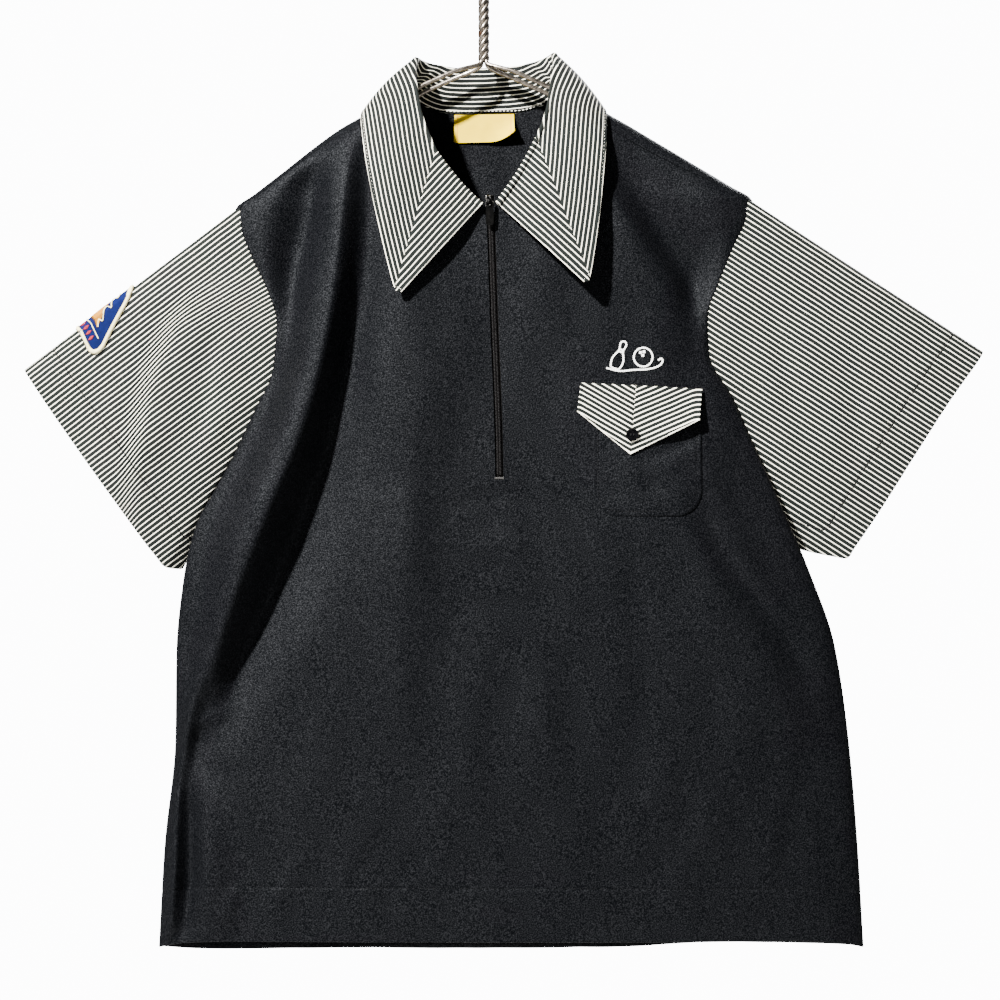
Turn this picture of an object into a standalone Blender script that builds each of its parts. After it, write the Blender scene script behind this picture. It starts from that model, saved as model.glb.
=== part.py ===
"""A half-zip bowling shirt on a hanger of twisted, doubled wire.

Metres, +Z up, X to the right and -Y towards someone who looks at the front; left and right are theirs.
The origin is the point inside the hook that bears on a rail. The cloth of the body is worked out as one
flattened tube, cut into a front and a back at the seams. Each sleeve is a flattened tube from its armhole
to its cuff, and the collar is a band folded over its roll line. "drop" is a distance below the hook.
"""

import math

import bmesh
import bpy
import numpy as np
from mathutils import Matrix

NAME = "bowling_shirt"

CLOTH = 0.0018  # wall of the double knit
COLLAR_CLOTH = 0.0018
THIN_CLOTH = 0.0012  # pocket and flap
SEAM = 0.00025  # each panel stops this far short of its seam line, measured across the body
SHOULDER_SEAM = 0.0005  # more where the seam slopes, for the same gap
FRONT_ROUNDNESS = 2.6  # 2 is an ellipse, more is flatter in the middle

LEFT, RIGHT = "left", "right"


def table(columns, *rows):
    """A dictionary of columns, named in one string, from rows of numbers."""
    return dict(zip(columns.split(), np.array(rows, float).T))


# The body's sections from the neck to the hem: where its left and right edges are, how far the front and
# the back stand from the hanger's plane, where each edge lies in depth, how much higher the right end of
# the section is than the left, and how round the back is.
BODY = table(
    "drop left right front back left_edge right_edge tilt back_roundness",
    (0.1365, -0.0655, 0.0680, 0.0160, 0.0190, 0.000, 0.000, 0.000, 2.4),
    (0.1420, -0.0755, 0.0790, 0.0178, 0.0235, 0.000, 0.000, 0.001, 2.4),
    (0.1490, -0.0870, 0.0895, 0.0195, 0.0270, 0.000, 0.000, 0.002, 2.4),
    (0.1630, -0.1070, 0.1060, 0.0215, 0.0290, 0.000, 0.000, 0.004, 2.4),
    (0.1745, -0.1275, 0.1250, 0.0228, 0.0300, 0.000, 0.000, 0.005, 2.4),
    (0.1900, -0.1496, 0.1503, 0.0240, 0.0310, 0.000, 0.000, 0.006, 2.4),
    (0.2100, -0.1756, 0.1830, 0.0260, 0.0315, 0.000, 0.000, 0.007, 2.4),
    (0.2300, -0.2018, 0.2160, 0.0275, 0.0320, 0.000, 0.000, 0.0075, 2.4),
    (0.2432, -0.2185, 0.2360, 0.0285, 0.0320, -0.001, -0.001, 0.0075, 2.4),
    (0.2580, -0.2200, 0.2370, 0.0290, 0.0320, -0.001, -0.001, 0.008, 2.4),
    (0.2850, -0.2120, 0.2270, 0.0295, 0.0320, -0.002, -0.002, 0.009, 2.4),
    (0.3150, -0.1980, 0.2155, 0.0300, 0.0320, -0.003, -0.003, 0.010, 2.4),
    (0.3450, -0.1880, 0.2030, 0.0300, 0.0320, -0.004, -0.004, 0.010, 2.3),
    (0.3800, -0.1870, 0.2000, 0.0300, 0.0320, -0.006, -0.006, 0.011, 2.1),
    (0.4200, -0.2020, 0.2190, 0.0300, 0.0320, -0.008, -0.008, 0.012, 1.9),
    (0.4550, -0.2180, 0.2340, 0.0295, 0.0320, -0.009, -0.009, 0.012, 1.8),
    (0.4830, -0.2330, 0.2470, 0.0290, 0.0320, -0.009, -0.009, 0.012, 1.8),
    (0.5200, -0.2525, 0.2635, 0.0285, 0.0320, -0.009, -0.009, 0.011, 1.8),
    (0.5680, -0.2635, 0.2850, 0.0280, 0.0310, -0.007, -0.007, 0.008, 2.0),
    (0.6320, -0.2700, 0.3080, 0.0270, 0.0300, -0.004, -0.004, 0.004, 2.3),
    (0.7160, -0.2715, 0.3210, 0.0260, 0.0290, -0.001, -0.001, 0.000, 2.4),
    (0.8080, -0.2810, 0.3290, 0.0250, 0.0280, 0.000, 0.000, -0.003, 2.4),
    (0.8955, -0.2860, 0.3340, 0.0240, 0.0270, 0.000, 0.000, 0.000, 2.4),
)

# Where the front ends, in degrees round the section from the left or right edge towards the front: the
# shoulder seam down to the tip of the shoulder, then the armhole, then the side seam.
FRONT_END = table(
    "drop left right",
    (0.1365, 17, 17),
    (0.1420, 33, 33),
    (0.1490, 46, 46),
    (0.1630, 43, 43),
    (0.1745, 38, 40),
    (0.1830, 25, 39),
    (0.2100, 17, 32),
    (0.2300, 16, 22),
    (0.2432, 14, 14),
    (0.2560, 17, 17),
    (0.2850, 19, 19),
    (0.3150, 20, 20),
    (0.3450, 18, 18),
    (0.3800, 12, 12),
    (0.4200, 5, 5),
    (0.4550, 0, 0),
    (0.4710, -4, -4),
    (0.4830, -12, -12),
    (0.5200, -10, -10),
    (0.5680, -2, -6),
    (0.6320, 8, -5),
    (0.7160, 12, -4),
    (0.8080, 15, -3),
    (0.8955, 18, -2),
)

# The same for the back, where it differs: over the tip of the shoulder and down the back of the armhole.
BACK_END = table(
    "drop left right",
    (0.2432, 14, 14),
    (0.2440, 7, 7),
    (0.2452, 0, 0),
    (0.2470, -8, -8),
    (0.2505, -15, -15),
    (0.2560, -21, -21),
    (0.2850, -26, -26),
    (0.3450, -27, -27),
    (0.3800, -26, -26),
    (0.4200, -23, -23),
    (0.4550, -20, -20),
    (0.4710, -18, -18),
)

# The neckline: half its width at the back, and where its two sides are at the front.
BACK_NECK = table(
    "drop half",
    (0.1365, 0.0655),
    (0.1420, 0.0640),
    (0.1480, 0.0585),
    (0.1530, 0.0500),
    (0.1565, 0.0390),
    (0.1578, 0.0300),
)
FRONT_NECK = table(
    "drop left right",
    (0.1365, -0.0655, 0.0680),
    (0.1490, -0.0640, 0.0655),
    (0.1540, -0.0620, 0.0630),
    (0.1650, -0.0612, 0.0618),
    (0.1750, -0.0590, 0.0590),
    (0.1900, -0.0530, 0.0520),
    (0.2050, -0.0450, 0.0445),
    (0.2200, -0.0340, 0.0335),
    (0.2310, -0.0235, 0.0240),
    (0.2400, -0.0125, 0.0165),
    (0.2485, 0.0015, 0.0105),
)
NECK_BOTTOM = 0.2485

# The slit for the zip, along the middle of the front.
ZIP_LINE = table("drop x", (0.2485, 0.0058), (0.3300, 0.0085), (0.4830, 0.0135), (0.8935, 0.0140))
ZIP_END = 0.4830
SLIT = 0.0072

# Folds that lie in the body's cloth: the line that each follows, its height, outwards, and how far it
# reaches to its left and right.
FRONT_FOLDS = {
    "long ridge on the left": table(
        "drop x height left_width right_width",
        (0.190, -0.112, 0.000, 0.020, 0.015),
        (0.215, -0.120, 0.006, 0.030, 0.014),
        (0.330, -0.133, 0.014, 0.040, 0.020),
        (0.416, -0.150, 0.017, 0.045, 0.026),
        (0.511, -0.187, 0.018, 0.040, 0.032),
        (0.585, -0.218, 0.016, 0.035, 0.036),
        (0.650, -0.238, 0.011, 0.030, 0.034),
        (0.720, -0.250, 0.000, 0.020, 0.030),
    ),
    "hollow beside it": table(
        "drop x height left_width right_width",
        (0.220, -0.098, 0.000, 0.012, 0.020),
        (0.295, -0.101, -0.004, 0.012, 0.030),
        (0.355, -0.105, -0.006, 0.014, 0.035),
        (0.440, -0.115, -0.007, 0.018, 0.038),
        (0.540, -0.145, -0.007, 0.022, 0.040),
        (0.624, -0.180, -0.006, 0.024, 0.035),
        (0.706, -0.212, 0.000, 0.020, 0.030),
    ),
    "hollow under the left shoulder": table(
        "drop x height left_width right_width",
        (0.215, -0.170, 0.000, 0.030, 0.030),
        (0.255, -0.166, -0.005, 0.030, 0.025),
        (0.310, -0.160, -0.004, 0.025, 0.020),
        (0.360, -0.158, 0.000, 0.025, 0.020),
    ),
    "ridge above the left hem": table(
        "drop x height left_width right_width",
        (0.735, -0.248, 0.000, 0.020, 0.012),
        (0.775, -0.246, 0.007, 0.022, 0.013),
        (0.830, -0.246, 0.008, 0.022, 0.015),
        (0.880, -0.250, 0.005, 0.022, 0.018),
        (0.900, -0.252, 0.003, 0.022, 0.018),
    ),
    "slope under the right armhole": table(
        "drop x height left_width right_width",
        (0.430, 0.130, 0.000, 0.060, 0.040),
        (0.520, 0.165, 0.006, 0.060, 0.032),
        (0.600, 0.218, 0.007, 0.060, 0.032),
        (0.680, 0.255, 0.004, 0.060, 0.030),
        (0.740, 0.270, 0.000, 0.060, 0.030),
    ),
    "hollow under the right shoulder": table(
        "drop x height left_width right_width",
        (0.200, 0.150, 0.000, 0.030, 0.030),
        (0.260, 0.170, -0.005, 0.035, 0.030),
        (0.320, 0.165, -0.004, 0.035, 0.030),
        (0.380, 0.160, 0.000, 0.035, 0.030),
    ),
    "soft wave left of the zip": table(
        "drop x height left_width right_width",
        (0.330, -0.052, 0.000, 0.030, 0.030),
        (0.480, -0.060, 0.004, 0.030, 0.030),
        (0.600, -0.070, 0.003, 0.030, 0.030),
        (0.700, -0.080, 0.000, 0.030, 0.030),
    ),
}
BACK_FOLDS = {
    "drape from the left armhole": table(
        "drop x height left_width right_width",
        (0.330, -0.090, 0.000, 0.040, 0.025),
        (0.450, -0.120, 0.010, 0.045, 0.030),
        (0.600, -0.165, 0.012, 0.045, 0.035),
        (0.720, -0.195, 0.006, 0.040, 0.035),
        (0.840, -0.205, 0.000, 0.035, 0.035),
    ),
    "drape from the right armhole": table(
        "drop x height left_width right_width",
        (0.300, 0.095, 0.000, 0.025, 0.040),
        (0.440, 0.135, 0.009, 0.030, 0.045),
        (0.600, 0.190, 0.011, 0.035, 0.045),
        (0.740, 0.225, 0.005, 0.035, 0.045),
        (0.850, 0.235, 0.000, 0.035, 0.040),
    ),
    "hollow down the middle": table(
        "drop x height left_width right_width",
        (0.260, 0.010, 0.000, 0.040, 0.040),
        (0.450, 0.005, -0.005, 0.045, 0.045),
        (0.700, 0.000, -0.006, 0.055, 0.055),
        (0.900, -0.005, -0.003, 0.060, 0.060),
    ),
}
FOLDS_START, FOLDS_FULL = 0.30, 0.65  # share of the section's depth where folds begin and are full

# Rows of the panels, as drops: down the shoulder seam, over its tip, down the armhole and down the side.
SHOULDER_ROWS = np.array([0.1490, 0.1540, 0.1610, 0.1690, 0.1790, 0.1920, 0.2060, 0.2200, 0.2330, 0.2432])
TIP_ROWS = BACK_END["drop"][1:5]
ARMHOLE_ROWS = np.linspace(0.2560, 0.4710, 11)
SIDE_ROWS = np.linspace(0.4830, 0.8955, 13)
NECK_ROWS = np.array([0.1380, 0.1430])
BACK_NECK_ROW = 0.1578

# The hems hang level at the side seams only: the front's is higher between them and the back's lower, up to
# the x where it comes level again.
HEM_ROW = SIDE_ROWS[-1]
FRONT_HEM_RISE, BACK_HEM_FALL = 0.0080, 0.0057
BACK_HEM_LEVEL = (0.10, 0.22)

TURN_WEIGHT = 0.030  # a panel's columns close up as if each radian of turning were this long
HALF_FRONT_COLUMNS = 14
HALF_BACK_COLUMNS = 10
BACK_NECK_COLUMNS = 5

# Each cuff, as a ring of points that starts at the sleeve's top fold, runs down its front and comes back
# up behind; the seventh is its lower fold.
CUFFS = {
    LEFT: table(
        "x y drop",
        (-0.405, 0.004, 0.388),
        (-0.398, -0.005, 0.398),
        (-0.372, -0.008, 0.436),
        (-0.337, -0.011, 0.485),
        (-0.301, -0.009, 0.535),
        (-0.282, -0.005, 0.559),
        (-0.266, 0.009, 0.563),
        (-0.284, 0.021, 0.552),
        (-0.321, 0.024, 0.502),
        (-0.360, 0.020, 0.448),
        (-0.393, 0.012, 0.402),
    ),
    RIGHT: table(
        "x y drop",
        (0.440, 0.005, 0.372),
        (0.434, -0.005, 0.381),
        (0.408, -0.008, 0.417),
        (0.378, -0.011, 0.463),
        (0.346, -0.009, 0.514),
        (0.321, -0.004, 0.551),
        (0.284, 0.013, 0.546),
        (0.318, 0.023, 0.540),
        (0.355, 0.024, 0.487),
        (0.395, 0.020, 0.430),
        (0.429, 0.012, 0.386),
    ),
}
CUFF_LOWER_FOLD = 6
SLEEVE_RINGS = 10
SLEEVE_SWELL = 0.004

# The collar from the middle of the back, row 0, round to the mitre of its point, row 9, and on to the top
# of the zip, row 10: its roll line and its outer edge. From row 9 on, the edge is the rounded tip.
COLLAR = {
    LEFT: table(
        "row roll_x roll_y roll_drop edge_x edge_y edge_drop",
        (0.0, 0.0000, 0.0220, 0.1190, 0.0000, 0.0400, 0.1720),
        (1.0, -0.0200, 0.0215, 0.1190, -0.0300, 0.0395, 0.1715),
        (2.0, -0.0380, 0.0180, 0.1180, -0.0620, 0.0360, 0.1690),
        (3.0, -0.0520, 0.0110, 0.1155, -0.0890, 0.0270, 0.1640),
        (4.0, -0.0595, 0.0020, 0.1130, -0.1040, 0.0090, 0.1590),
        (5.0, -0.0610, -0.0080, 0.1220, -0.1080, -0.0120, 0.1660),
        (6.0, -0.0590, -0.0180, 0.1390, -0.1040, -0.0300, 0.1970),
        (7.0, -0.0550, -0.0275, 0.1640, -0.0965, -0.0400, 0.2380),
        (8.0, -0.0490, -0.0320, 0.1820, -0.0870, -0.0460, 0.2800),
        (9.0, -0.0415, -0.0345, 0.1997, -0.0765, -0.0500, 0.3200),
        (9.5, -0.0200, -0.0365, 0.2290, -0.0745, -0.0500, 0.3232),
        (10.0, -0.0030, -0.0375, 0.2480, -0.0705, -0.0500, 0.3236),
    ),
    RIGHT: table(
        "row roll_x roll_y roll_drop edge_x edge_y edge_drop",
        (0.0, 0.0000, 0.0220, 0.1190, 0.0000, 0.0400, 0.1720),
        (1.0, 0.0210, 0.0215, 0.1180, 0.0310, 0.0395, 0.1710),
        (2.0, 0.0400, 0.0180, 0.1160, 0.0630, 0.0360, 0.1675),
        (3.0, 0.0540, 0.0110, 0.1120, 0.0890, 0.0270, 0.1620),
        (4.0, 0.0615, 0.0020, 0.1090, 0.1030, 0.0090, 0.1565),
        (5.0, 0.0625, -0.0080, 0.1190, 0.1070, -0.0120, 0.1630),
        (6.0, 0.0590, -0.0180, 0.1360, 0.1060, -0.0300, 0.1940),
        (7.0, 0.0555, -0.0275, 0.1600, 0.1025, -0.0400, 0.2350),
        (8.0, 0.0510, -0.0320, 0.1760, 0.0980, -0.0460, 0.2720),
        (9.0, 0.0455, -0.0345, 0.1900, 0.0915, -0.0500, 0.3110),
        (9.5, 0.0290, -0.0365, 0.2220, 0.0900, -0.0500, 0.3148),
        (10.0, 0.0130, -0.0375, 0.2465, 0.0860, -0.0500, 0.3152),
    ),
}
COLLAR_ROLL = 0.0023  # radius of the cloth's middle over the roll line
COLLAR_SEAM = 0.0013  # from the neck seam to the stand
COLLAR_SWELL = 0.003
MITRE_ROW, ZIP_ROW = 9.0, 10.0
MITRE_GAP = 0.0011
HALF_BAND_ROWS, POINT_ROWS = 14, 5

# The chest pocket and its flap, on the front: x and drop of their corners.
POCKET_LEFT, POCKET_RIGHT = 0.0945, 0.1895
POCKET_TOP, POCKET_BOTTOM = 0.4080, 0.5165
POCKET_CORNER = 0.022
FLAP = {
    "top": ((0.0840, 0.4010), (0.1320, 0.4030), (0.1900, 0.4060)),
    "bottom": ((0.0810, 0.4260), (0.1270, 0.4630), (0.1870, 0.4330)),
}
POCKET_OUT, FLAP_OUT = 0.0020, 0.0036  # how far their outer faces stand from the front's
BUTTON = (0.1285, 0.4460)
BUTTON_RADIUS, BUTTON_THICKNESS = 0.0056, 0.0026

# The zip. Its slider's bridge carries the pull tab, which hangs on a cross bar through it.
CHAIN_WIDTH, CHAIN_THICKNESS = 0.0058, 0.0015
TAPE_WIDTH, TAPE_THICKNESS = 0.0260, 0.0007
SLIDER_X = 0.0052
SLIDER_TOP, SLIDER_BOTTOM = 0.2385, 0.2493
SLIDER_FRONT, SLIDER_BACK = -0.0330, -0.0277
SLIDER_WIDTH = 0.0075
BRIDGE_WIDTH, BRIDGE_WALL = 0.0022, 0.0011
BRIDGE_GAP, BRIDGE_HEIGHT = 0.0028, 0.0030  # clear depth and clear height inside the bridge
HINGE = (SLIDER_X, SLIDER_FRONT - BRIDGE_GAP / 2, -0.2450)
TAB_WIDTH, TAB_THICKNESS, TAB_LENGTH = 0.0068, 0.0014, 0.0200
TAB_BAR = 0.0012  # height of its cross bar, whose middle is the hinge
TAB_WINDOW_WIDTH, TAB_WINDOW_END = 0.0042, 0.0044

# The hanger: two wires, each bent into an arm and twisted together with the other above the arms.
WIRE_RADIUS = 0.0014
STRAND_OFFSET = 0.0024  # from the twist's middle to each strand's
TWIST_TOP, TWIST_BOTTOM, TWIST_PITCH = 0.0580, 0.1110, 0.0280
HOOK_RADIUS = 0.0210
HOOK_RISE = np.array([
    (0.0008, 0.0, -0.0535),
    (0.0040, 0.0, -0.0480),
    (0.0110, 0.0, -0.0400),
    (0.0182, 0.0, -0.0310),
])
ARM_NECK = table(
    "x drop spread",
    (0.0017, 0.1110, 0.0017),
    (0.0030, 0.1145, 0.0028),
    (0.0120, 0.1195, 0.0060),
    (0.0260, 0.1240, 0.0085),
    (0.0400, 0.1302, 0.0090),
    (0.0550, 0.1402, 0.0090),
)
ARM_UNDER_SHOULDER = 0.0126  # from the shoulder's ridge to the wire's middle
ARM_SPREAD = 0.0090
ARM_RISE = 0.0016  # the front strand runs this much above the arm's middle and the back one below it
ARM_END = {LEFT: 0.196, RIGHT: 0.210}

# Label and patch.
LABEL_HALF_WIDTH, LABEL_TOP, LABEL_BOTTOM = 0.0265, 0.1588, 0.1835
LABEL_THICKNESS = 0.0008
PATCH_BASE, PATCH_POINT = 0.0585, 0.1215  # from the cuff, along the sleeve's top fold
PATCH_HALF_BASE, PATCH_CORNER = 0.0335, 0.006
PATCH_THICKNESS, PATCH_OUT = 0.0013, 0.0021

BLACK_KNIT = ((0.012, 0.013, 0.017), 0.85, 0.0)
STRIPED_KNIT = ((0.330, 0.310, 0.250), 0.85, 0.0)
STRIPED_ACROSS = ((0.300, 0.285, 0.230), 0.85, 0.0)
ZIP_BLACK = ((0.020, 0.018, 0.016), 0.60, 0.0)
TAPE_BLACK = ((0.016, 0.015, 0.014), 0.90, 0.0)
BRIGHT_METAL = ((0.620, 0.620, 0.600), 0.25, 1.0)
TAB_BLACK = ((0.015, 0.015, 0.015), 0.30, 0.0)
BUTTON_BLACK = ((0.010, 0.010, 0.011), 0.18, 0.0)
CREAM = ((0.880, 0.760, 0.280), 0.70, 0.0)
PATCH_BLUE = ((0.050, 0.110, 0.330), 0.80, 0.0)
STEEL = ((0.420, 0.400, 0.370), 0.35, 1.0)


# ---------------------------------------------------------------- scene, materials and meshes


def clear_scene():
    for thing in list(bpy.data.objects):
        bpy.data.objects.remove(thing, do_unlink=True)


def new_collection(name):
    collection = bpy.data.collections.new(name)
    bpy.context.scene.collection.children.link(collection)
    return collection


def finish_of(name, look):
    """A Principled material of the piece's own, from its colour, roughness and metallic value."""
    colour, roughness, metallic = look
    material = bpy.data.materials.new(name)
    material.use_nodes = True
    shader = material.node_tree.nodes["Principled BSDF"]
    shader.inputs["Base Color"].default_value = (*colour, 1.0)
    shader.inputs["Roughness"].default_value = roughness
    shader.inputs["Metallic"].default_value = metallic
    return material


def add_object(name, data, look=None):
    thing = bpy.data.objects.new(name, data)
    PARTS.objects.link(thing)
    if look:
        data.materials.append(finish_of(name, look))
    return thing


def make_cutter(thing):
    """Moves an object that another is joined to or cut by out of the part."""
    PARTS.objects.unlink(thing)
    CUTTERS.objects.link(thing)
    thing.hide_render = True
    thing.display_type = "WIRE"


def boolean(thing, other, operation):
    make_cutter(other)
    modifier = thing.modifiers.new(operation.lower(), "BOOLEAN")
    modifier.operation = operation
    modifier.object = other


def as_mesh(curve_object):
    """The curve object as a mesh object of the same name, with its caps welded on."""
    bpy.context.view_layer.update()
    evaluated = curve_object.evaluated_get(bpy.context.evaluated_depsgraph_get())
    mesh = bpy.data.meshes.new_from_object(evaluated)
    work = bmesh.new()
    work.from_mesh(mesh)
    bmesh.ops.remove_doubles(work, verts=work.verts, dist=0.00001)
    work.to_mesh(mesh)
    work.free()
    name = curve_object.name
    place = curve_object.matrix_world.copy()
    bpy.data.objects.remove(curve_object, do_unlink=True)
    thing = bpy.data.objects.new(name, mesh)
    PARTS.objects.link(thing)
    thing.matrix_world = place
    return thing


def cloth(name, grid, look, thickness=CLOTH, offset=-1.0, keep=None, ring=False, flip=False, facing=None):
    """A wall of cloth on a grid of points, rows by columns.

    keep is False for the cells that are left open, and ring joins the last column to the first. The grid
    is the wall's outer face at offset -1 and its middle at 0. The wall goes through along the grid's
    normals, or along facing where the surface's own are known.
    """
    rows, columns = grid.shape[:2]
    count = rows * columns
    index = np.arange(count).reshape(rows, columns)
    if ring:
        index = np.hstack([index, index[:, :1]])
    corners = [index[:-1, :-1], index[1:, :-1], index[1:, 1:], index[:-1, 1:]]
    cells = np.stack(corners[::-1] if flip else corners, axis=-1)
    cells = cells[keep] if keep is not None else cells.reshape(-1, 4)
    if facing is None:
        facing = normals(grid, ring) * (-1 if flip else 1)
    outer = grid + facing * thickness * (1 + offset) / 2
    inner = outer - facing * thickness
    starts, ends = cells.ravel(), np.roll(cells, -1, axis=1).ravel()
    open_edge = ~np.isin(starts * count + ends, ends * count + starts)
    starts, ends = starts[open_edge], ends[open_edge]
    rim = np.stack([ends, starts, starts + count, ends + count], axis=-1)
    points = np.concatenate([outer.reshape(-1, 3), inner.reshape(-1, 3)])
    used, faces = np.unique(np.concatenate([cells, cells[:, ::-1] + count, rim]), return_inverse=True)
    mesh = bpy.data.meshes.new(name)
    mesh.from_pydata(points[used].tolist(), [], faces.reshape(-1, 4).tolist())
    mesh.shade_smooth()
    mesh.set_sharp_from_angle(angle=math.radians(40))
    return add_object(name, mesh, look)


# ---------------------------------------------------------------- curves and surfaces


def along(rows, column, where, key="drop"):
    """The column's value at each place, on a smooth curve through the rows that never overshoots them."""
    x, y = rows[key], rows[column]
    where = np.clip(where, x[0], x[-1])
    step = np.diff(x)
    slope = np.diff(y) / step
    rising = slope[1:] * slope[:-1] > 0
    both = np.where(rising, slope[1:] + slope[:-1], 1.0)
    mean = np.where(rising, 2 * slope[1:] * slope[:-1] / both, 0.0)
    tangent = np.concatenate([slope[:1], mean, slope[-1:]])
    i = np.clip(np.searchsorted(x, where, side="right") - 1, 0, len(step) - 1)
    t = (where - x[i]) / step[i]
    ends = (1 + 2 * t) * (1 - t) ** 2 * y[i] + t * t * (3 - 2 * t) * y[i + 1]
    return ends + step[i] * (t * (1 - t) ** 2 * tangent[i] - t * t * (1 - t) * tangent[i + 1])


def soft_step(value):
    value = np.clip(value, 0.0, 1.0)
    return value * value * (3 - 2 * value)


def lengths(points):
    """How far along the line of points each of them is."""
    return np.concatenate([[0.0], np.cumsum(np.linalg.norm(np.diff(points, axis=0), axis=1))])


def resample(points, where):
    """Points at the given lengths along a line of points."""
    measured = lengths(points)
    return np.stack([np.interp(where, measured, axis) for axis in points.T], axis=-1)


def ring_through(points, samples=24):
    """A smooth closed line through the points (Catmull-Rom), with its first point repeated at the end."""
    before, after, beyond = (np.roll(points, shift, axis=0) for shift in (1, -1, -2))
    t = np.linspace(0, 1, samples, endpoint=False)[None, :, None]
    p0, p1, p2, p3 = (p[:, None, :] for p in (before, points, after, beyond))
    line = 0.5 * (
        2 * p1 + (p2 - p0) * t + (2 * p0 - 5 * p1 + 4 * p2 - p3) * t**2 + (3 * p1 - p0 - 3 * p2 + p3) * t**3
    )
    return np.vstack([line.reshape(-1, 3), points[:1]])


def normals(grid, ring=False):
    """Unit normals of a grid of points, from its rows and columns."""
    if ring:
        around = np.concatenate([grid[:, -1:], grid, grid[:, :1]], axis=1)
        across = np.gradient(around, axis=1)[:, 1:-1]
    else:
        across = np.gradient(grid, axis=1)
    normal = np.cross(np.gradient(grid, axis=0), across)
    return normal / np.maximum(np.linalg.norm(normal, axis=-1, keepdims=True), 1e-12)


def swell(folds, x, drop):
    """How far the folds push the cloth out: each is a bell across its line, as high as its rows say."""
    total = np.zeros(np.broadcast(x, drop).shape)
    for rows in folds.values():
        inside = (drop > rows["drop"][0]) & (drop < rows["drop"][-1])
        away = x - along(rows, "x", drop)
        width = np.where(away < 0, along(rows, "left_width", drop), along(rows, "right_width", drop))
        total += np.where(inside, along(rows, "height", drop) * np.exp(-((away / width) ** 2)), 0.0)
    return total


def body(angle, drop):
    """The body's outer surface. 0 degrees is its left edge, 90 the front, 180 the right edge, -90 the back.

    The section is a superellipse whose front and back halves differ. The folds push it out or in, and fade
    towards the edges.
    """
    angle, drop = np.broadcast_arrays(np.radians(angle), drop)
    left, right, front, back, left_edge, right_edge, tilt, roundness = (
        along(BODY, column, drop) for column in list(BODY)[1:]
    )
    cosine, sine = np.cos(angle), np.sin(angle)
    in_front = sine > 0
    power = 2 / np.where(in_front, FRONT_ROUNDNESS, roundness)
    across = np.sign(cosine) * np.abs(cosine) ** power
    reach = np.abs(sine) ** power
    x = (left + right) / 2 - (right - left) / 2 * across
    edge = left_edge * (1 + across) / 2 + right_edge * (1 - across) / 2
    y = edge * (1 - reach) + np.where(in_front, -front, back) * reach
    z = -drop - tilt * across / 2
    fade = soft_step((np.abs(sine) - FOLDS_START) / (FOLDS_FULL - FOLDS_START))
    y = y - fade * np.where(in_front, swell(FRONT_FOLDS, x, drop), -swell(BACK_FOLDS, x, drop))
    return np.stack([x, y, z], axis=-1)


def angle_at(x, drop, in_front=True):
    """The angle at which the body's section has this x, on its front or its back."""
    left, right = along(BODY, "left", drop), along(BODY, "right", drop)
    roundness = FRONT_ROUNDNESS if in_front else along(BODY, "back_roundness", drop)
    across = ((left + right) / 2 - x) / ((right - left) / 2)
    angle = np.degrees(np.arccos(np.clip(np.sign(across) * np.abs(across) ** (roundness / 2), -1, 1)))
    return angle if in_front else -angle


def on_front(x, drop, out=0.0):
    """Points of the front at these x and true drops, moved out of it by a distance."""
    x, drop = np.broadcast_arrays(np.asarray(x, float), np.asarray(drop, float))
    section = drop
    for _ in range(3):
        point = body(angle_at(x, section), section)
        section = section + drop + point[..., 2]
    point = body(angle_at(x, section), section)
    return point - np.array([0.0, out, 0.0])


def body_facing(angle, drop):
    """Unit normals of the body's surface, outwards."""
    around = body(angle + 0.05, drop) - body(angle - 0.05, drop)
    down = body(angle, drop + 0.0002) - body(angle, drop - 0.0002)
    normal = np.cross(down, around)
    return normal / np.linalg.norm(normal, axis=-1, keepdims=True)


def across_body(start, end, drop, columns, gap_start=0.0, gap_end=0.0):
    """Angles spaced along one section, short of each end by its gap, closer where the section turns."""
    angles = np.linspace(start, end, 361)
    line = body(angles, drop)
    measured = lengths(line)
    angles = np.interp(np.linspace(gap_start, measured[-1] - gap_end, 361), measured, angles)
    line = body(angles, drop)
    steps = np.diff(line, axis=0)
    heading = np.unwrap(np.arctan2(steps[:, 1], steps[:, 0]))
    turned = np.concatenate([[0.0], np.cumsum(np.abs(np.diff(heading, prepend=heading[:1])))])
    weight = lengths(line) + TURN_WEIGHT * turned
    return np.interp(np.linspace(0, weight[-1], columns + 1), weight, angles)


# ---------------------------------------------------------------- front and back


def seam_gap(drop):
    return SHOULDER_SEAM if drop < SHOULDER_ROWS[-1] + 0.0001 else SEAM


def front_end(side, drop):
    angle = along(FRONT_END, side, drop)
    return angle if side == LEFT else 180 - angle


def back_end(side, drop):
    inside_armhole = TIP_ROWS[0] - 0.0001 < drop < ARMHOLE_ROWS[-1] + 0.0001
    angle = along(BACK_END if inside_armhole else FRONT_END, side, drop)
    return angle if side == LEFT else -180 - angle


def hang(angle, drop):
    """The drops of a panel's points, with the rows above the hem bent down to its real line."""
    in_front = np.sin(np.radians(angle)) > 0
    middle = soft_step(np.abs(np.sin(np.radians(angle))) / 0.7)
    x = body(angle, np.broadcast_to(drop, angle.shape))[..., 0]
    level = 1 - soft_step((x - BACK_HEM_LEVEL[0]) / (BACK_HEM_LEVEL[1] - BACK_HEM_LEVEL[0]))
    change = np.where(in_front, -FRONT_HEM_RISE, BACK_HEM_FALL * level) * middle
    return drop + change * soft_step((drop - 0.70) / (HEM_ROW - 0.70))


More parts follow.
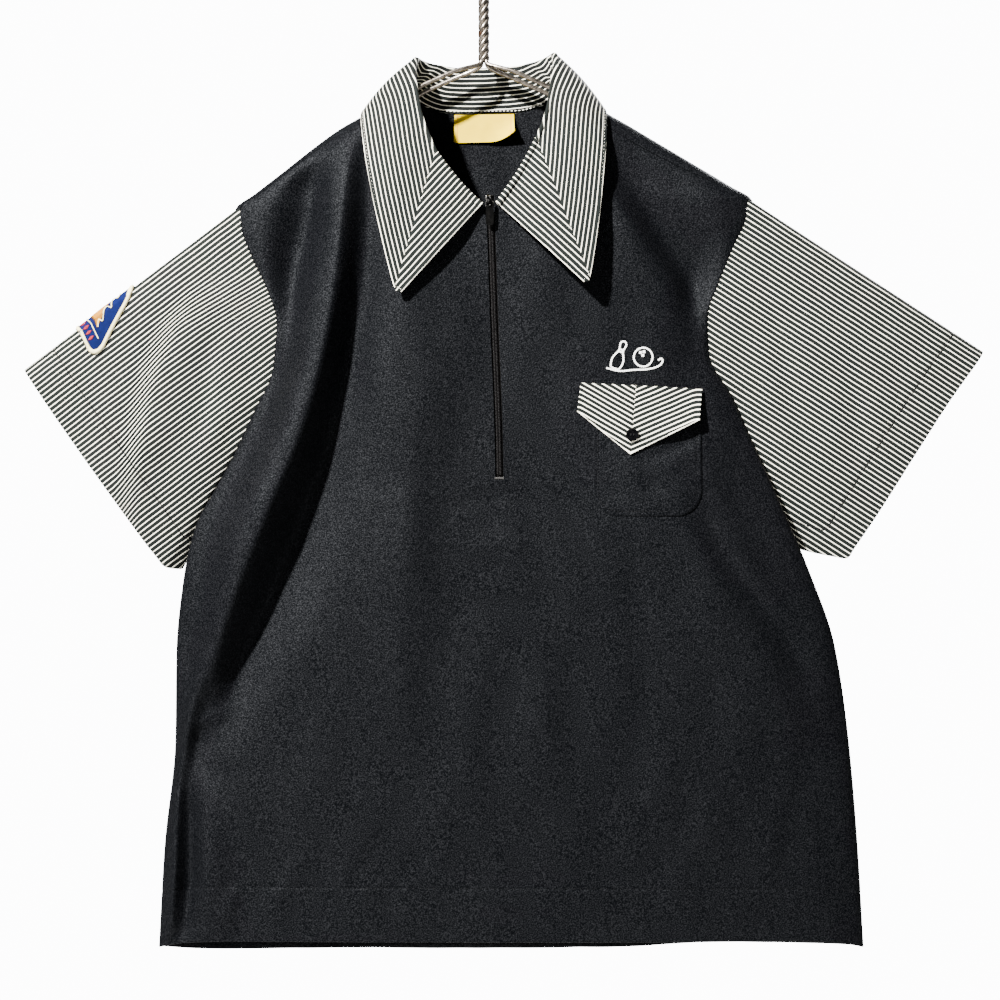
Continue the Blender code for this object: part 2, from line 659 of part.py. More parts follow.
def make_front():
    """The front, in rows from the shoulders to the hem, with the neckline and the slit left open."""
    rows = np.concatenate([SHOULDER_ROWS, ARMHOLE_ROWS, SIDE_ROWS])
    angles = []
    for drop in rows:
        middle = along(ZIP_LINE, "x", drop)
        inner = [middle - SLIT / 2, middle + SLIT / 2]
        if drop < NECK_BOTTOM:
            inner = [along(FRONT_NECK, side, drop) for side in (LEFT, RIGHT)]
        left, right = (angle_at(x, drop) for x in inner)
        seam = seam_gap(drop)
        left_part = across_body(front_end(LEFT, drop), left, drop, HALF_FRONT_COLUMNS, seam)
        right_part = across_body(right, front_end(RIGHT, drop), drop, HALF_FRONT_COLUMNS, 0.0, seam)
        angles.append(np.concatenate([left_part, right_part]))
    keep = np.ones((len(rows) - 1, 2 * HALF_FRONT_COLUMNS + 1), bool)
    keep[rows[:-1] < ZIP_END - 0.0001, HALF_FRONT_COLUMNS] = False
    place = np.array(angles), hang(np.array(angles), rows[:, None])
    cloth("front", body(*place), BLACK_KNIT, keep=keep, facing=body_facing(*place))


def make_back():
    """The back, which wraps over the shoulders to the seam on the front, with the neck left open."""
    shoulder = np.insert(SHOULDER_ROWS[SHOULDER_ROWS > BACK_NECK_ROW], 0, BACK_NECK_ROW)
    above = SHOULDER_ROWS[SHOULDER_ROWS < BACK_NECK_ROW]
    rows = np.concatenate([NECK_ROWS, above, shoulder, TIP_ROWS, ARMHOLE_ROWS, SIDE_ROWS])
    angles = []
    for drop in rows:
        half = along(BACK_NECK, "half", drop)
        left, right = (angle_at(x, drop, in_front=False) for x in (-half, half))
        seam = seam_gap(drop)
        left_part = across_body(back_end(LEFT, drop), left, drop, HALF_BACK_COLUMNS, seam)
        middle = across_body(left, right, drop, BACK_NECK_COLUMNS)[1:-1]
        right_part = across_body(right, back_end(RIGHT, drop), drop, HALF_BACK_COLUMNS, 0.0, seam)
        angles.append(np.concatenate([left_part, middle, right_part]))
    keep = np.ones((len(rows) - 1, 2 * HALF_BACK_COLUMNS + BACK_NECK_COLUMNS), bool)
    neck = slice(HALF_BACK_COLUMNS, HALF_BACK_COLUMNS + BACK_NECK_COLUMNS)
    keep[rows[:-1] < BACK_NECK_ROW - 0.0001, neck] = False
    place = np.array(angles), hang(np.array(angles), rows[:, None])
    cloth("back", body(*place), BLACK_KNIT, keep=keep, flip=True, facing=body_facing(*place))


# ---------------------------------------------------------------- sleeves


SLEEVE_AXIS = {LEFT: np.array([-0.80, 0.0, -0.60]), RIGHT: np.array([0.84, 0.0, -0.54])}
ARMHOLE_GAP = 0.0006
PIT = (-12, 0.4790)  # angle and drop of the sleeve's lowest point on the armhole


def armhole(side):
    """The sleeve's first ring: from the shoulder's ridge down the front and back up behind."""
    front = [(along(FRONT_END, side, drop), drop) for drop in (SHOULDER_ROWS[-1], *ARMHOLE_ROWS)]
    behind = [(along(BACK_END, side, drop), drop) for drop in (*TIP_ROWS[2:], *ARMHOLE_ROWS)]
    ridge = [(0.0, TIP_ROWS[1]), (7.0, TIP_ROWS[0])]
    angles, drops = np.array(ridge + front + [PIT] + behind[::-1]).T
    ring = body(angles if side == LEFT else 180 - angles, drops)
    return ring + SLEEVE_AXIS[side] * ARMHOLE_GAP, len(ridge) + len(front)


def sleeve_surface(side, shares):
    """Rings of the sleeve at shares of its length, 0 at the armhole and 1 at the cuff.

    Each point of the armhole runs straight to its own point of the cuff, with a little swell between.
    """
    start, pit = armhole(side)
    cuff = np.stack([CUFFS[side]["x"], CUFFS[side]["y"], -CUFFS[side]["drop"]], axis=-1)
    line = ring_through(cuff)
    measured = lengths(line)
    fold = measured[CUFF_LOWER_FOLD * (len(line) - 1) // len(cuff)]
    walked = lengths(np.vstack([start, start[:1]]))
    down = walked[: pit + 1] / walked[pit] * fold
    up = fold + (walked[pit + 1 : -1] - walked[pit]) / (walked[-1] - walked[pit]) * (measured[-1] - fold)
    end = resample(line, np.concatenate([down, up]))
    around = np.concatenate([down / fold, (up - fold) / (measured[-1] - fold) + 1]) * math.pi
    shares = np.asarray(shares)[:, None]
    push = -SLEEVE_SWELL * np.sin(around)[None, :] * np.sin(math.pi * shares)
    rings = start[None] * (1 - shares[..., None]) + end[None] * shares[..., None]
    rings[..., 1] += push
    return rings


def make_sleeve(side):
    rings = sleeve_surface(side, np.linspace(0, 1, SLEEVE_RINGS))
    cloth(f"sleeve_{side}", rings, STRIPED_KNIT, ring=True, flip=side == RIGHT)


# ---------------------------------------------------------------- collar


def neck_seam(side):
    """The neck seam from the middle of the back over the shoulder to the zip, as a fine line."""
    sign = -1 if side == LEFT else 1
    drops = np.linspace(BACK_NECK_ROW, BODY["drop"][0], 120)
    behind = body(angle_at(sign * along(BACK_NECK, "half", drops), drops, in_front=False), drops)
    middle = body(-90.0, BACK_NECK_ROW)[None]
    drops = np.linspace(BODY["drop"][0], NECK_BOTTOM, 240)[1:]
    front = body(angle_at(along(FRONT_NECK, side, drops), drops), drops)
    bottom = resample(np.vstack([middle, behind[:1]]), np.linspace(0, abs(behind[0, 0]), 30))
    return np.vstack([bottom[:-1], behind, front])


def collar_rows(side, where):
    """The collar's neck, roll and edge points at places between its rows."""
    rows = COLLAR[side]
    seam = neck_seam(side)
    measured = lengths(seam)

    def points(kind, at):
        columns = [along(rows, f"{kind}_{axis}", at, "row") for axis in ("x", "y", "drop")]
        return np.stack([columns[0], columns[1], -columns[2]], axis=-1)

    listed = points("roll", rows["row"])
    nearest = [np.argmin(np.linalg.norm(seam - point, axis=1)) for point in listed]
    place = {"row": rows["row"], "length": np.maximum.accumulate(measured[nearest])}
    neck = resample(seam, along(place, "length", where, "row"))
    return neck, points("roll", where), points("edge", where)


def collar_surface(side, where, stand_columns=3, fall_columns=7):
    """The middle of the collar's cloth: up the stand, over the roll and down the fall, a row a place."""
    neck, roll, edge = collar_rows(side, where)
    down = neck - roll
    height = np.linalg.norm(down, axis=1, keepdims=True)
    down = down / height
    neck = neck - down * COLLAR_SEAM
    out = edge - neck
    out = out - (out * down).sum(axis=1, keepdims=True) * down
    out = out / np.linalg.norm(out, axis=1, keepdims=True)
    centre = roll + down * COLLAR_ROLL
    angles = np.radians([0, 45, 90, 135, 180])
    turn = [centre - COLLAR_ROLL * (math.cos(angle) * out + math.sin(angle) * down) for angle in angles]
    stand = [neck + (turn[0] - neck) * share for share in np.linspace(0, 1, stand_columns, endpoint=False)]
    fall = [turn[-1] + (edge - turn[-1]) * share for share in np.linspace(0, 1, fall_columns + 1)[1:]]
    grid = np.stack(stand + turn + fall, axis=1)
    rise = np.zeros(grid.shape[1])
    rise[-fall_columns:] = np.sin(math.pi * np.linspace(0, 1, fall_columns + 1)[1:])
    facing = normals(grid) * (1 if side == RIGHT else -1)
    return grid + COLLAR_SWELL * rise[None, :, None] * facing


def make_collar():
    """The band from mitre to mitre and its two points, cut from one surface that runs from zip to zip."""
    point = np.linspace(MITRE_ROW, ZIP_ROW, POINT_ROWS + 1)
    where = np.concatenate([np.linspace(0, MITRE_ROW, HALF_BAND_ROWS + 1), point[1:]])
    left, right = (collar_surface(side, where) for side in (LEFT, RIGHT))
    grid = np.vstack([left[::-1], right[1:]])
    facing = normals(grid)
    for name, look, first, last in (
        ("collar_point_left", STRIPED_ACROSS, 0, POINT_ROWS),
        ("collar", STRIPED_KNIT, POINT_ROWS, len(grid) - 1 - POINT_ROWS),
        ("collar_point_right", STRIPED_ACROSS, len(grid) - 1 - POINT_ROWS, len(grid) - 1),
    ):
        piece = grid[first : last + 1].copy()
        # A point piece starts just past the mitre.
        for row, beside in ((0, 1), (-1, -2)) if name != "collar" else ():
            if 0 < (first if row == 0 else last) < len(grid) - 1:
                step = piece[beside] - piece[row]
                piece[row] += MITRE_GAP * step / np.linalg.norm(step, axis=1, keepdims=True)
        cloth(name, piece, look, COLLAR_CLOTH, offset=0.0, facing=facing[first : last + 1])


# ---------------------------------------------------------------- pocket, flap and button


def make_pocket():
    """The bag, whose lower corners are round, on the front's own surface."""
    below = np.array([0.0, 0.15, 0.3, 0.45, 0.6, 0.72, 0.82, 0.9, 0.96, 1.0])
    drop = POCKET_TOP + (POCKET_BOTTOM - POCKET_TOP) * below
    into_corner = np.clip(drop - (POCKET_BOTTOM - POCKET_CORNER), 0, POCKET_CORNER)
    inset = POCKET_CORNER - np.sqrt(POCKET_CORNER**2 - into_corner**2)
    share = np.linspace(0, 1, 10)[None, :]
    x = (POCKET_LEFT + inset)[:, None] * (1 - share) + (POCKET_RIGHT - inset)[:, None] * share
    grid = on_front(x, np.broadcast_to(drop[:, None], x.shape), POCKET_OUT)
    cloth("pocket", grid, BLACK_KNIT, thickness=THIN_CLOTH)


def make_flap():
    """Two halves that meet in a mitre from the top to the flap's point."""
    for half, name in enumerate(("pocket_flap_left", "pocket_flap_right")):
        top, bottom = (np.array(FLAP[edge][half : half + 2]) for edge in ("top", "bottom"))
        across = np.linspace(0, 1, 7)[None, :, None]
        down = np.linspace(0, 1, 6)[:, None, None]
        upper = top[0] * (1 - across) + top[1] * across
        lower = bottom[0] * (1 - across) + bottom[1] * across
        corner = upper * (1 - down) + lower * down
        x = corner[..., 0] + (SEAM if half else -SEAM)
        cloth(name, on_front(x, corner[..., 1], FLAP_OUT), STRIPED_KNIT, thickness=THIN_CLOTH)


def make_button():
    """A turned disc with a raised rim and four holes, its axis along Y."""
    radius, half = BUTTON_RADIUS, BUTTON_THICKNESS / 2
    profile = [
        (0.0, half * 0.35),
        (radius * 0.60, half * 0.35),
        (radius * 0.72, half * 0.95),
        (radius * 0.90, half),
        (radius, half * 0.45),
        (radius, -half * 0.45),
        (radius * 0.85, -half),
        (0.0, -half),
    ]
    mesh = bpy.data.meshes.new("button")
    edges = [(i, i + 1) for i in range(len(profile) - 1)]
    mesh.from_pydata([(r, 0.0, z) for r, z in profile], edges, [])
    button = add_object("button", mesh, BUTTON_BLACK)
    turn = button.modifiers.new("turn", "SCREW")
    turn.axis = "Z"
    turn.steps = turn.render_steps = 24
    turn.use_merge_vertices = True
    turn.merge_threshold = 0.00001
    drill = bmesh.new()
    for corner in range(4):
        angle = math.radians(45 + 90 * corner)
        place = Matrix.Translation((0.0017 * math.cos(angle), 0.0017 * math.sin(angle), 0.0))
        bmesh.ops.create_cone(
            drill, cap_ends=True, segments=8, radius1=0.0006, radius2=0.0006, depth=0.01, matrix=place
        )
    holes = bpy.data.meshes.new("button_holes")
    drill.to_mesh(holes)
    drill.free()
    cutter = add_object("button_holes", holes)
    x, drop = BUTTON
    behind = on_front(x, drop, FLAP_OUT + 0.0007)
    place = Matrix.Translation((x, behind[1] - half, -drop)) @ Matrix.Rotation(math.radians(90), 4, "X")
    button.matrix_world = place
    cutter.matrix_world = place
    boolean(button, cutter, "DIFFERENCE")


# ---------------------------------------------------------------- zip


def make_zip():
    """The closed chain in the slit, and the tape behind the front that carries it."""
    drop = np.linspace(SLIDER_BOTTOM + 0.0003, ZIP_END - 0.0022, 18)
    middle = along(ZIP_LINE, "x", drop)
    share = np.linspace(-0.5, 0.5, 3)[None, :]
    chain = on_front(middle[:, None] + CHAIN_WIDTH * share, np.repeat(drop[:, None], 3, axis=1), -0.0002)
    cloth("zip_chain", chain, ZIP_BLACK, thickness=CHAIN_THICKNESS)
    drop = np.linspace(SLIDER_BOTTOM + 0.0030, ZIP_END + 0.0060, 18)
    middle = along(ZIP_LINE, "x", drop)
    share = np.linspace(-0.5, 0.5, 5)[None, :]
    behind = -(CLOTH + 0.0006)
    tape = on_front(middle[:, None] + TAPE_WIDTH * share, np.repeat(drop[:, None], 5, axis=1), behind)
    cloth("zip_tape", tape, TAPE_BLACK, thickness=TAPE_THICKNESS)


def flat_piece(name, outlines, thickness, look=None):
    """A flat piece in the curve's XY plane: closed outlines, the first outside and the rest holes."""
    curve = bpy.data.curves.new(name, "CURVE")
    curve.dimensions = "2D"
    curve.fill_mode = "BOTH"
    curve.extrude = thickness / 2
    for outline in outlines:
        spline = curve.splines.new("POLY")
        spline.points.add(len(outline) - 1)
        spline.points.foreach_set("co", np.array([(x, y, 0.0, 1.0) for x, y in outline]).ravel())
        spline.use_cyclic_u = True
    return add_object(name, curve, look)


def box(name, size, centre, look=None):
    work = bmesh.new()
    bmesh.ops.create_cube(work, size=1.0, matrix=Matrix.Translation(centre) @ Matrix.Diagonal((*size, 1.0)))
    mesh = bpy.data.meshes.new(name)
    work.to_mesh(mesh)
    work.free()
    return add_object(name, mesh, look)


def make_slider():
    """A bevelled body between the collar's ends, joined to the bridge that the pull tab hangs in."""
    size = (SLIDER_WIDTH, SLIDER_BACK - SLIDER_FRONT, SLIDER_BOTTOM - SLIDER_TOP)
    centre = (SLIDER_X, (SLIDER_FRONT + SLIDER_BACK) / 2, -(SLIDER_TOP + SLIDER_BOTTOM) / 2)
    slider = box("zip_slider", size, centre, BRIGHT_METAL)
    bevel = slider.modifiers.new("round", "BEVEL")
    bevel.width = 0.0008
    bevel.segments = 2
    half = BRIDGE_HEIGHT / 2
    foot, inner, outer = 0.0010, -BRIDGE_GAP, -(BRIDGE_GAP + BRIDGE_WALL)
    outline = np.array([
        (foot, half + BRIDGE_WALL),
        (outer + 0.0006, half + BRIDGE_WALL),
        (outer, half + BRIDGE_WALL - 0.0006),
        (outer, -half - BRIDGE_WALL + 0.0006),
        (outer + 0.0006, -half - BRIDGE_WALL),
        (foot, -half - BRIDGE_WALL),
        (foot, -half),
        (inner, -half),
        (inner, half),
        (foot, half),
    ])
    bridge = flat_piece("zip_bridge", [outline], BRIDGE_WIDTH)
    # The outline's x becomes the depth and its y the height.
    turn = Matrix(((0, 0, 1, SLIDER_X), (1, 0, 0, SLIDER_FRONT), (0, 1, 0, HINGE[2]), (0, 0, 0, 1)))
    bridge.matrix_world = turn
    boolean(slider, as_mesh(bridge), "UNION")


def make_pull_tab():
    """A flat tab with a window, whose cross bar lies in the slider's bridge. It hangs from its hinge."""
    half, end = TAB_WIDTH / 2, -TAB_LENGTH
    corner = 0.0024
    angles = np.radians(np.linspace(0, 90, 5))
    right = np.stack([half - corner * (1 - np.cos(angles)), end + corner * (1 - np.sin(angles))], axis=-1)
    left = right[::-1] * np.array([-1.0, 1.0])
    top = TAB_BAR / 2
    outside = np.vstack([[(-half + 0.0006, top), (half - 0.0006, top), (half, top - 0.0006)], right, left,
                         [(-half, top - 0.0006)]])
    window, low = TAB_WINDOW_WIDTH / 2, -TAB_WINDOW_END
    inside = np.array([(-window, -top), (-window, low), (window, low), (window, -top)])
    tab = flat_piece("zip_pull_tab", [outside, inside], TAB_THICKNESS, TAB_BLACK)
    hinge = bpy.data.objects.new("zip_pull_hinge", None)
    PARTS.objects.link(hinge)
    hinge.location = HINGE
    tab.parent = hinge
    tab.rotation_euler = (math.radians(90), 0.0, 0.0)


# ---------------------------------------------------------------- label and patch


def make_label():
    """A label sewn into the neck seam, inside the back, with its lower right corner curled forward."""
    across = np.linspace(-1, 1, 7)[None, :]
    down = np.linspace(0, 1, 5)[:, None]
    x = LABEL_HALF_WIDTH * across * (1 + 0.02 * down)
    drop = LABEL_TOP + (LABEL_BOTTOM - LABEL_TOP) * down * (1 - 0.5 * np.clip(across - 0.2, 0, 1) ** 2)
    angle = angle_at(x, drop, in_front=False)
    grid = body(angle, drop)
    curl = 0.010 * down**2 * np.clip(across, 0, 1) ** 2 + 0.001 * down
    grid[..., 1] -= CLOTH + LABEL_THICKNESS + 0.0008 + curl
    cloth("neck_label", grid, CREAM, thickness=LABEL_THICKNESS)


def make_patch():
    """A triangle with round corners, folded over the top of the left sleeve, its point up the sleeve."""
    length = np.linalg.norm(np.subtract(*(sleeve_surface(LEFT, [share])[0, 0] for share in (0.0, 1.0))))
    reach = np.array([0.0, 0.02, 0.06, 0.13, 0.3, 0.5, 0.7, 0.86, 0.95, 1.0])
    up = (PATCH_POINT - PATCH_BASE) * reach
    # Half its width at each row: its straight side, with round corners below and at the point.
    low = np.clip(PATCH_CORNER - up, 0, PATCH_CORNER)
    high = np.clip(PATCH_CORNER - (PATCH_POINT - PATCH_BASE - up), 0, PATCH_CORNER)
    slope = PATCH_HALF_BASE / (PATCH_POINT - PATCH_BASE + PATCH_CORNER)
    half = PATCH_HALF_BASE - slope * up - PATCH_CORNER + np.sqrt(PATCH_CORNER**2 - low**2)
    half = half - half[-1] * 0.5 * (high / PATCH_CORNER) ** 2
    rings = sleeve_surface(LEFT, 1 - (PATCH_BASE + up) / length)
    grid = []
    for ring, width in zip(rings, half):
        # The ring starts on the top fold and runs down the front first.
        closed = np.vstack([ring, ring[:1]])
        grid.append(resample(closed, np.linspace(-width, width, 11) % lengths(closed)[-1]))
    grid = np.array(grid)
    cloth("sleeve_patch", grid - normals(grid) * PATCH_OUT, PATCH_BLUE, thickness=PATCH_THICKNESS, flip=True)


# ---------------------------------------------------------------- hanger


def wire(name, points, look):
    curve = bpy.data.curves.new(name, "CURVE")
    curve.dimensions = "3D"
    curve.bevel_depth = WIRE_RADIUS
    curve.bevel_resolution = 1
    curve.use_fill_caps = True
    spline = curve.splines.new("POLY")
    spline.points.add(len(points) - 1)
    spline.points.foreach_set("co", np.hstack([points, np.ones((len(points), 1))]).ravel())
    return add_object(name, curve, look)


def strand(angle_at_bottom, top=TWIST_TOP):
    """One strand of the twist, from its bottom up."""
    drop = np.linspace(TWIST_BOTTOM, top, 20)
    angle = math.radians(angle_at_bottom) + 2 * math.pi * (TWIST_BOTTOM - drop) / TWIST_PITCH
    return np.stack([STRAND_OFFSET * np.cos(angle), STRAND_OFFSET * np.sin(angle), -drop], axis=-1)


def arm(side):
    """An arm of doubled wire: out along its front strand, round its end and back along the other."""
    sign = -1 if side == LEFT else 1
    shoulder = BODY["drop"] < SHOULDER_ROWS[-1] + 0.0001
    ridge = BODY["drop"][shoulder] - sign * BODY["tilt"][shoulder] / 2
    x = np.concatenate([ARM_NECK["x"], np.linspace(0.068, ARM_END[side], 12)])
    drop = np.interp(x, sign * BODY[side][shoulder], ridge) + ARM_UNDER_SHOULDER
    neck = len(ARM_NECK["x"])
    drop[:neck] = ARM_NECK["drop"]
    spread = np.concatenate([ARM_NECK["spread"], np.full(12, ARM_SPREAD)])
    rise = ARM_RISE * spread / ARM_SPREAD
    out = np.stack([sign * x, -spread, rise - drop], axis=-1)
    back = np.stack([sign * x, spread, -rise - drop], axis=-1)[::-1]
    slope = (out[-1] - out[-2]) / np.linalg.norm(out[-1] - out[-2])
    turn = np.radians(np.linspace(-90, 90, 7)[1:-1, None])
    middle = (out[-1] + back[0]) / 2
    side = (back[0] - out[-1]) / 2
    bend = middle + np.cos(turn) * slope * ARM_SPREAD + np.sin(turn) * side
    return np.vstack([out, bend, back])


def hook(start):
    """From the top of a strand up round the hook, whose inside top is the origin."""
    radius = HOOK_RADIUS + WIRE_RADIUS
    angles = np.radians(np.linspace(0, 205, 17))
    arc = np.stack([radius * np.cos(angles), np.zeros(17), radius * np.sin(angles) - HOOK_RADIUS], axis=-1)
    return np.vstack([start, HOOK_RISE, arc])


def make_hanger():
    left_front, left_back = strand(225), strand(135)
    right_front, right_back = strand(315), strand(45)
    path = np.vstack([arm(LEFT)[::-1], left_front[1:]])
    path = np.vstack([left_back[::-1], path[1:]])
    wire("hanger_wire_left", np.vstack([path[:-1], hook(path[-1:])]), STEEL)
    wire("hanger_wire_right", np.vstack([right_back[::-1], arm(RIGHT)[::-1][1:], right_front[1:]]), STEEL)


clear_scene()
PARTS = new_collection(NAME)
CUTTERS = new_collection(f"{NAME}_cutters")
make_front()
make_back()
for each in (LEFT, RIGHT):
    make_sleeve(each)
make_collar()
make_pocket()
make_flap()
make_button()
make_zip()
make_slider()
make_pull_tab()
make_label()
make_patch()
make_hanger()
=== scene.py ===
"""A half-zip bowling shirt in black double knit with hickory-striped collar, sleeves and pocket flap.

It hangs on a hanger of twisted, doubled wire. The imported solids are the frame: every soft piece is laid
again on its solid's form, finer and with its creases. Metres, +Z up, the front faces -Y, and left and
right are those of someone who looks at the front. "drop" is a distance below the point that the hook
hangs from.
"""

import math

import bpy
import numpy as np
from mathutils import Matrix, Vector


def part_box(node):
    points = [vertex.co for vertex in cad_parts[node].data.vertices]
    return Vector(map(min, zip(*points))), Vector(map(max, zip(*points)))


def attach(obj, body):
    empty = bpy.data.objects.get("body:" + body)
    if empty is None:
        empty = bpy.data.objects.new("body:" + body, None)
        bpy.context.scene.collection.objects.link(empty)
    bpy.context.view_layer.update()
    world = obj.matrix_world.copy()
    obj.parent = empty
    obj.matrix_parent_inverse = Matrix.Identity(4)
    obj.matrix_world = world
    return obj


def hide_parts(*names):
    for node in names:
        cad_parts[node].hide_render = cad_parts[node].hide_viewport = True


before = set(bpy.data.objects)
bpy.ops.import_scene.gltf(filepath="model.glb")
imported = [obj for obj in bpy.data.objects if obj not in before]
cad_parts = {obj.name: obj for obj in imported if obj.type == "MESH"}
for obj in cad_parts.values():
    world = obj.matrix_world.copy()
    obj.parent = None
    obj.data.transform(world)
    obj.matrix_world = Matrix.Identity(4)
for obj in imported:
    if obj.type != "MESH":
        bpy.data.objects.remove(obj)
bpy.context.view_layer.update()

# ---------------------------------------------------------------- front
# The front panel: one piece of black polyester double knit, cut from the shoulder seams to the hem, with a
# slit down its middle for the zip. It hangs from the hanger's arms in a long diagonal drape on the left.

LEFT, RIGHT = "left", "right"


def table(columns, *rows):
    """A dictionary of columns, named in one string, from rows of numbers."""
    return dict(zip(columns.split(), np.array(rows, float).T))


def along(rows, column, where, key="drop"):
    """The column's value at each place, on a smooth curve through the rows that never overshoots them."""
    x, y = rows[key], rows[column]
    where = np.clip(where, x[0], x[-1])
    step = np.diff(x)
    slope = np.diff(y) / step
    rising = slope[1:] * slope[:-1] > 0
    both = np.where(rising, slope[1:] + slope[:-1], 1.0)
    mean = np.where(rising, 2 * slope[1:] * slope[:-1] / both, 0.0)
    tangent = np.concatenate([slope[:1], mean, slope[-1:]])
    i = np.clip(np.searchsorted(x, where, side="right") - 1, 0, len(step) - 1)
    t = (where - x[i]) / step[i]
    ends = (1 + 2 * t) * (1 - t) ** 2 * y[i] + t * t * (3 - 2 * t) * y[i + 1]
    return ends + step[i] * (t * (1 - t) ** 2 * tangent[i] - t * t * (1 - t) * tangent[i + 1])


def soft_step(value):
    """0 below 0, 1 above 1 and a smooth rise between: v squared times (3 - 2v)."""
    value = np.clip(value, 0.0, 1.0)
    return value * value * (3 - 2 * value)


def lengths(points):
    """How far along the line of points each of them is: the running sum of its steps."""
    return np.concatenate([[0.0], np.cumsum(np.linalg.norm(np.diff(points, axis=0), axis=1))])


def resample(points, where):
    """Points at the given lengths along a line of points."""
    measured = lengths(points)
    return np.stack([np.interp(where, measured, axis) for axis in points.T], axis=-1)


# The body's sections from the neck to the hem: where its left and right edges are, how far the front and
# the back stand from the hanger's plane, where each edge lies in depth, how much higher the right end of
# the section is than the left, and how round the back is.
BODY = table(
    "drop left right front back left_edge right_edge tilt back_roundness",
    (0.1365, -0.0655, 0.0680, 0.0160, 0.0190, 0.000, 0.000, 0.000, 2.4),
    (0.1420, -0.0755, 0.0790, 0.0178, 0.0235, 0.000, 0.000, 0.001, 2.4),
    (0.1490, -0.0870, 0.0895, 0.0195, 0.0270, 0.000, 0.000, 0.002, 2.4),
    (0.1630, -0.1070, 0.1060, 0.0215, 0.0290, 0.000, 0.000, 0.004, 2.4),
    (0.1745, -0.1275, 0.1250, 0.0228, 0.0300, 0.000, 0.000, 0.005, 2.4),
    (0.1900, -0.1496, 0.1503, 0.0240, 0.0310, 0.000, 0.000, 0.006, 2.4),
    (0.2100, -0.1756, 0.1830, 0.0260, 0.0315, 0.000, 0.000, 0.007, 2.4),
    (0.2300, -0.2018, 0.2160, 0.0275, 0.0320, 0.000, 0.000, 0.0075, 2.4),
    (0.2432, -0.2185, 0.2360, 0.0285, 0.0320, -0.001, -0.001, 0.0075, 2.4),
    (0.2580, -0.2200, 0.2370, 0.0290, 0.0320, -0.001, -0.001, 0.008, 2.4),
    (0.2850, -0.2120, 0.2270, 0.0295, 0.0320, -0.002, -0.002, 0.009, 2.4),
    (0.3150, -0.1980, 0.2155, 0.0300, 0.0320, -0.003, -0.003, 0.010, 2.4),
    (0.3450, -0.1880, 0.2030, 0.0300, 0.0320, -0.004, -0.004, 0.010, 2.3),
    (0.3800, -0.1870, 0.2000, 0.0300, 0.0320, -0.006, -0.006, 0.011, 2.1),
    (0.4200, -0.2020, 0.2190, 0.0300, 0.0320, -0.008, -0.008, 0.012, 1.9),
    (0.4550, -0.2180, 0.2340, 0.0295, 0.0320, -0.009, -0.009, 0.012, 1.8),
    (0.4830, -0.2330, 0.2470, 0.0290, 0.0320, -0.009, -0.009, 0.012, 1.8),
    (0.5200, -0.2525, 0.2635, 0.0285, 0.0320, -0.009, -0.009, 0.011, 1.8),
    (0.5680, -0.2635, 0.2850, 0.0280, 0.0310, -0.007, -0.007, 0.008, 2.0),
    (0.6320, -0.2700, 0.3080, 0.0270, 0.0300, -0.004, -0.004, 0.004, 2.3),
    (0.7160, -0.2715, 0.3210, 0.0260, 0.0290, -0.001, -0.001, 0.000, 2.4),
    (0.8080, -0.2810, 0.3290, 0.0250, 0.0280, 0.000, 0.000, -0.003, 2.4),
    (0.8955, -0.2860, 0.3340, 0.0240, 0.0270, 0.000, 0.000, 0.000, 2.4),
)
FRONT_ROUNDNESS = 2.6

# Where the front ends, in degrees round the section from the left or right edge towards the front.
FRONT_END = table(
    "drop left right",
    (0.1365, 17, 17),
    (0.1420, 33, 33),
    (0.1490, 46, 46),
    (0.1630, 43, 43),
    (0.1745, 38, 40),
    (0.1830, 25, 39),
    (0.2100, 17, 32),
    (0.2300, 16, 22),
    (0.2432, 14, 14),
    (0.2560, 17, 17),
    (0.2850, 19, 19),
    (0.3150, 20, 20),
    (0.3450, 18, 18),
    (0.3800, 12, 12),
    (0.4200, 5, 5),
    (0.4550, 0, 0),
    (0.4710, -4, -4),
    (0.4830, -12, -12),
    (0.5200, -10, -10),
    (0.5680, -2, -6),
    (0.6320, 8, -5),
    (0.7160, 12, -4),
    (0.8080, 15, -3),
    (0.8955, 18, -2),
)
FRONT_NECK = table(
    "drop left right",
    (0.1365, -0.0655, 0.0680),
    (0.1490, -0.0640, 0.0655),
    (0.1540, -0.0620, 0.0630),
    (0.1650, -0.0612, 0.0618),
    (0.1750, -0.0590, 0.0590),
    (0.1900, -0.0530, 0.0520),
    (0.2050, -0.0450, 0.0445),
    (0.2200, -0.0340, 0.0335),
    (0.2310, -0.0235, 0.0240),
    (0.2400, -0.0125, 0.0165),
    (0.2485, 0.0015, 0.0105),
)
NECK_BOTTOM = 0.2485
ZIP_LINE = table("drop x", (0.2485, 0.0058), (0.3300, 0.0085), (0.4830, 0.0135), (0.8935, 0.0140))
ZIP_END = 0.4830
SLIT = 0.0072
SHOULDER_TOP, SHOULDER_TIP, PIT_DROP, HEM = 0.1490, 0.2432, 0.4710, 0.8955

# The hems hang level at the side seams only: the front's is higher between them and the back's lower, up to
# the x where it comes level again.
FRONT_HEM_RISE, BACK_HEM_FALL = 0.0080, 0.0057
BACK_HEM_LEVEL = (0.10, 0.22)
HEM_BEND_START = 0.70


def fold(*rows):
    """A big fold: the line that it follows, its height, outwards, and its reach to either side."""
    return table("drop x height left_width right_width", *rows)


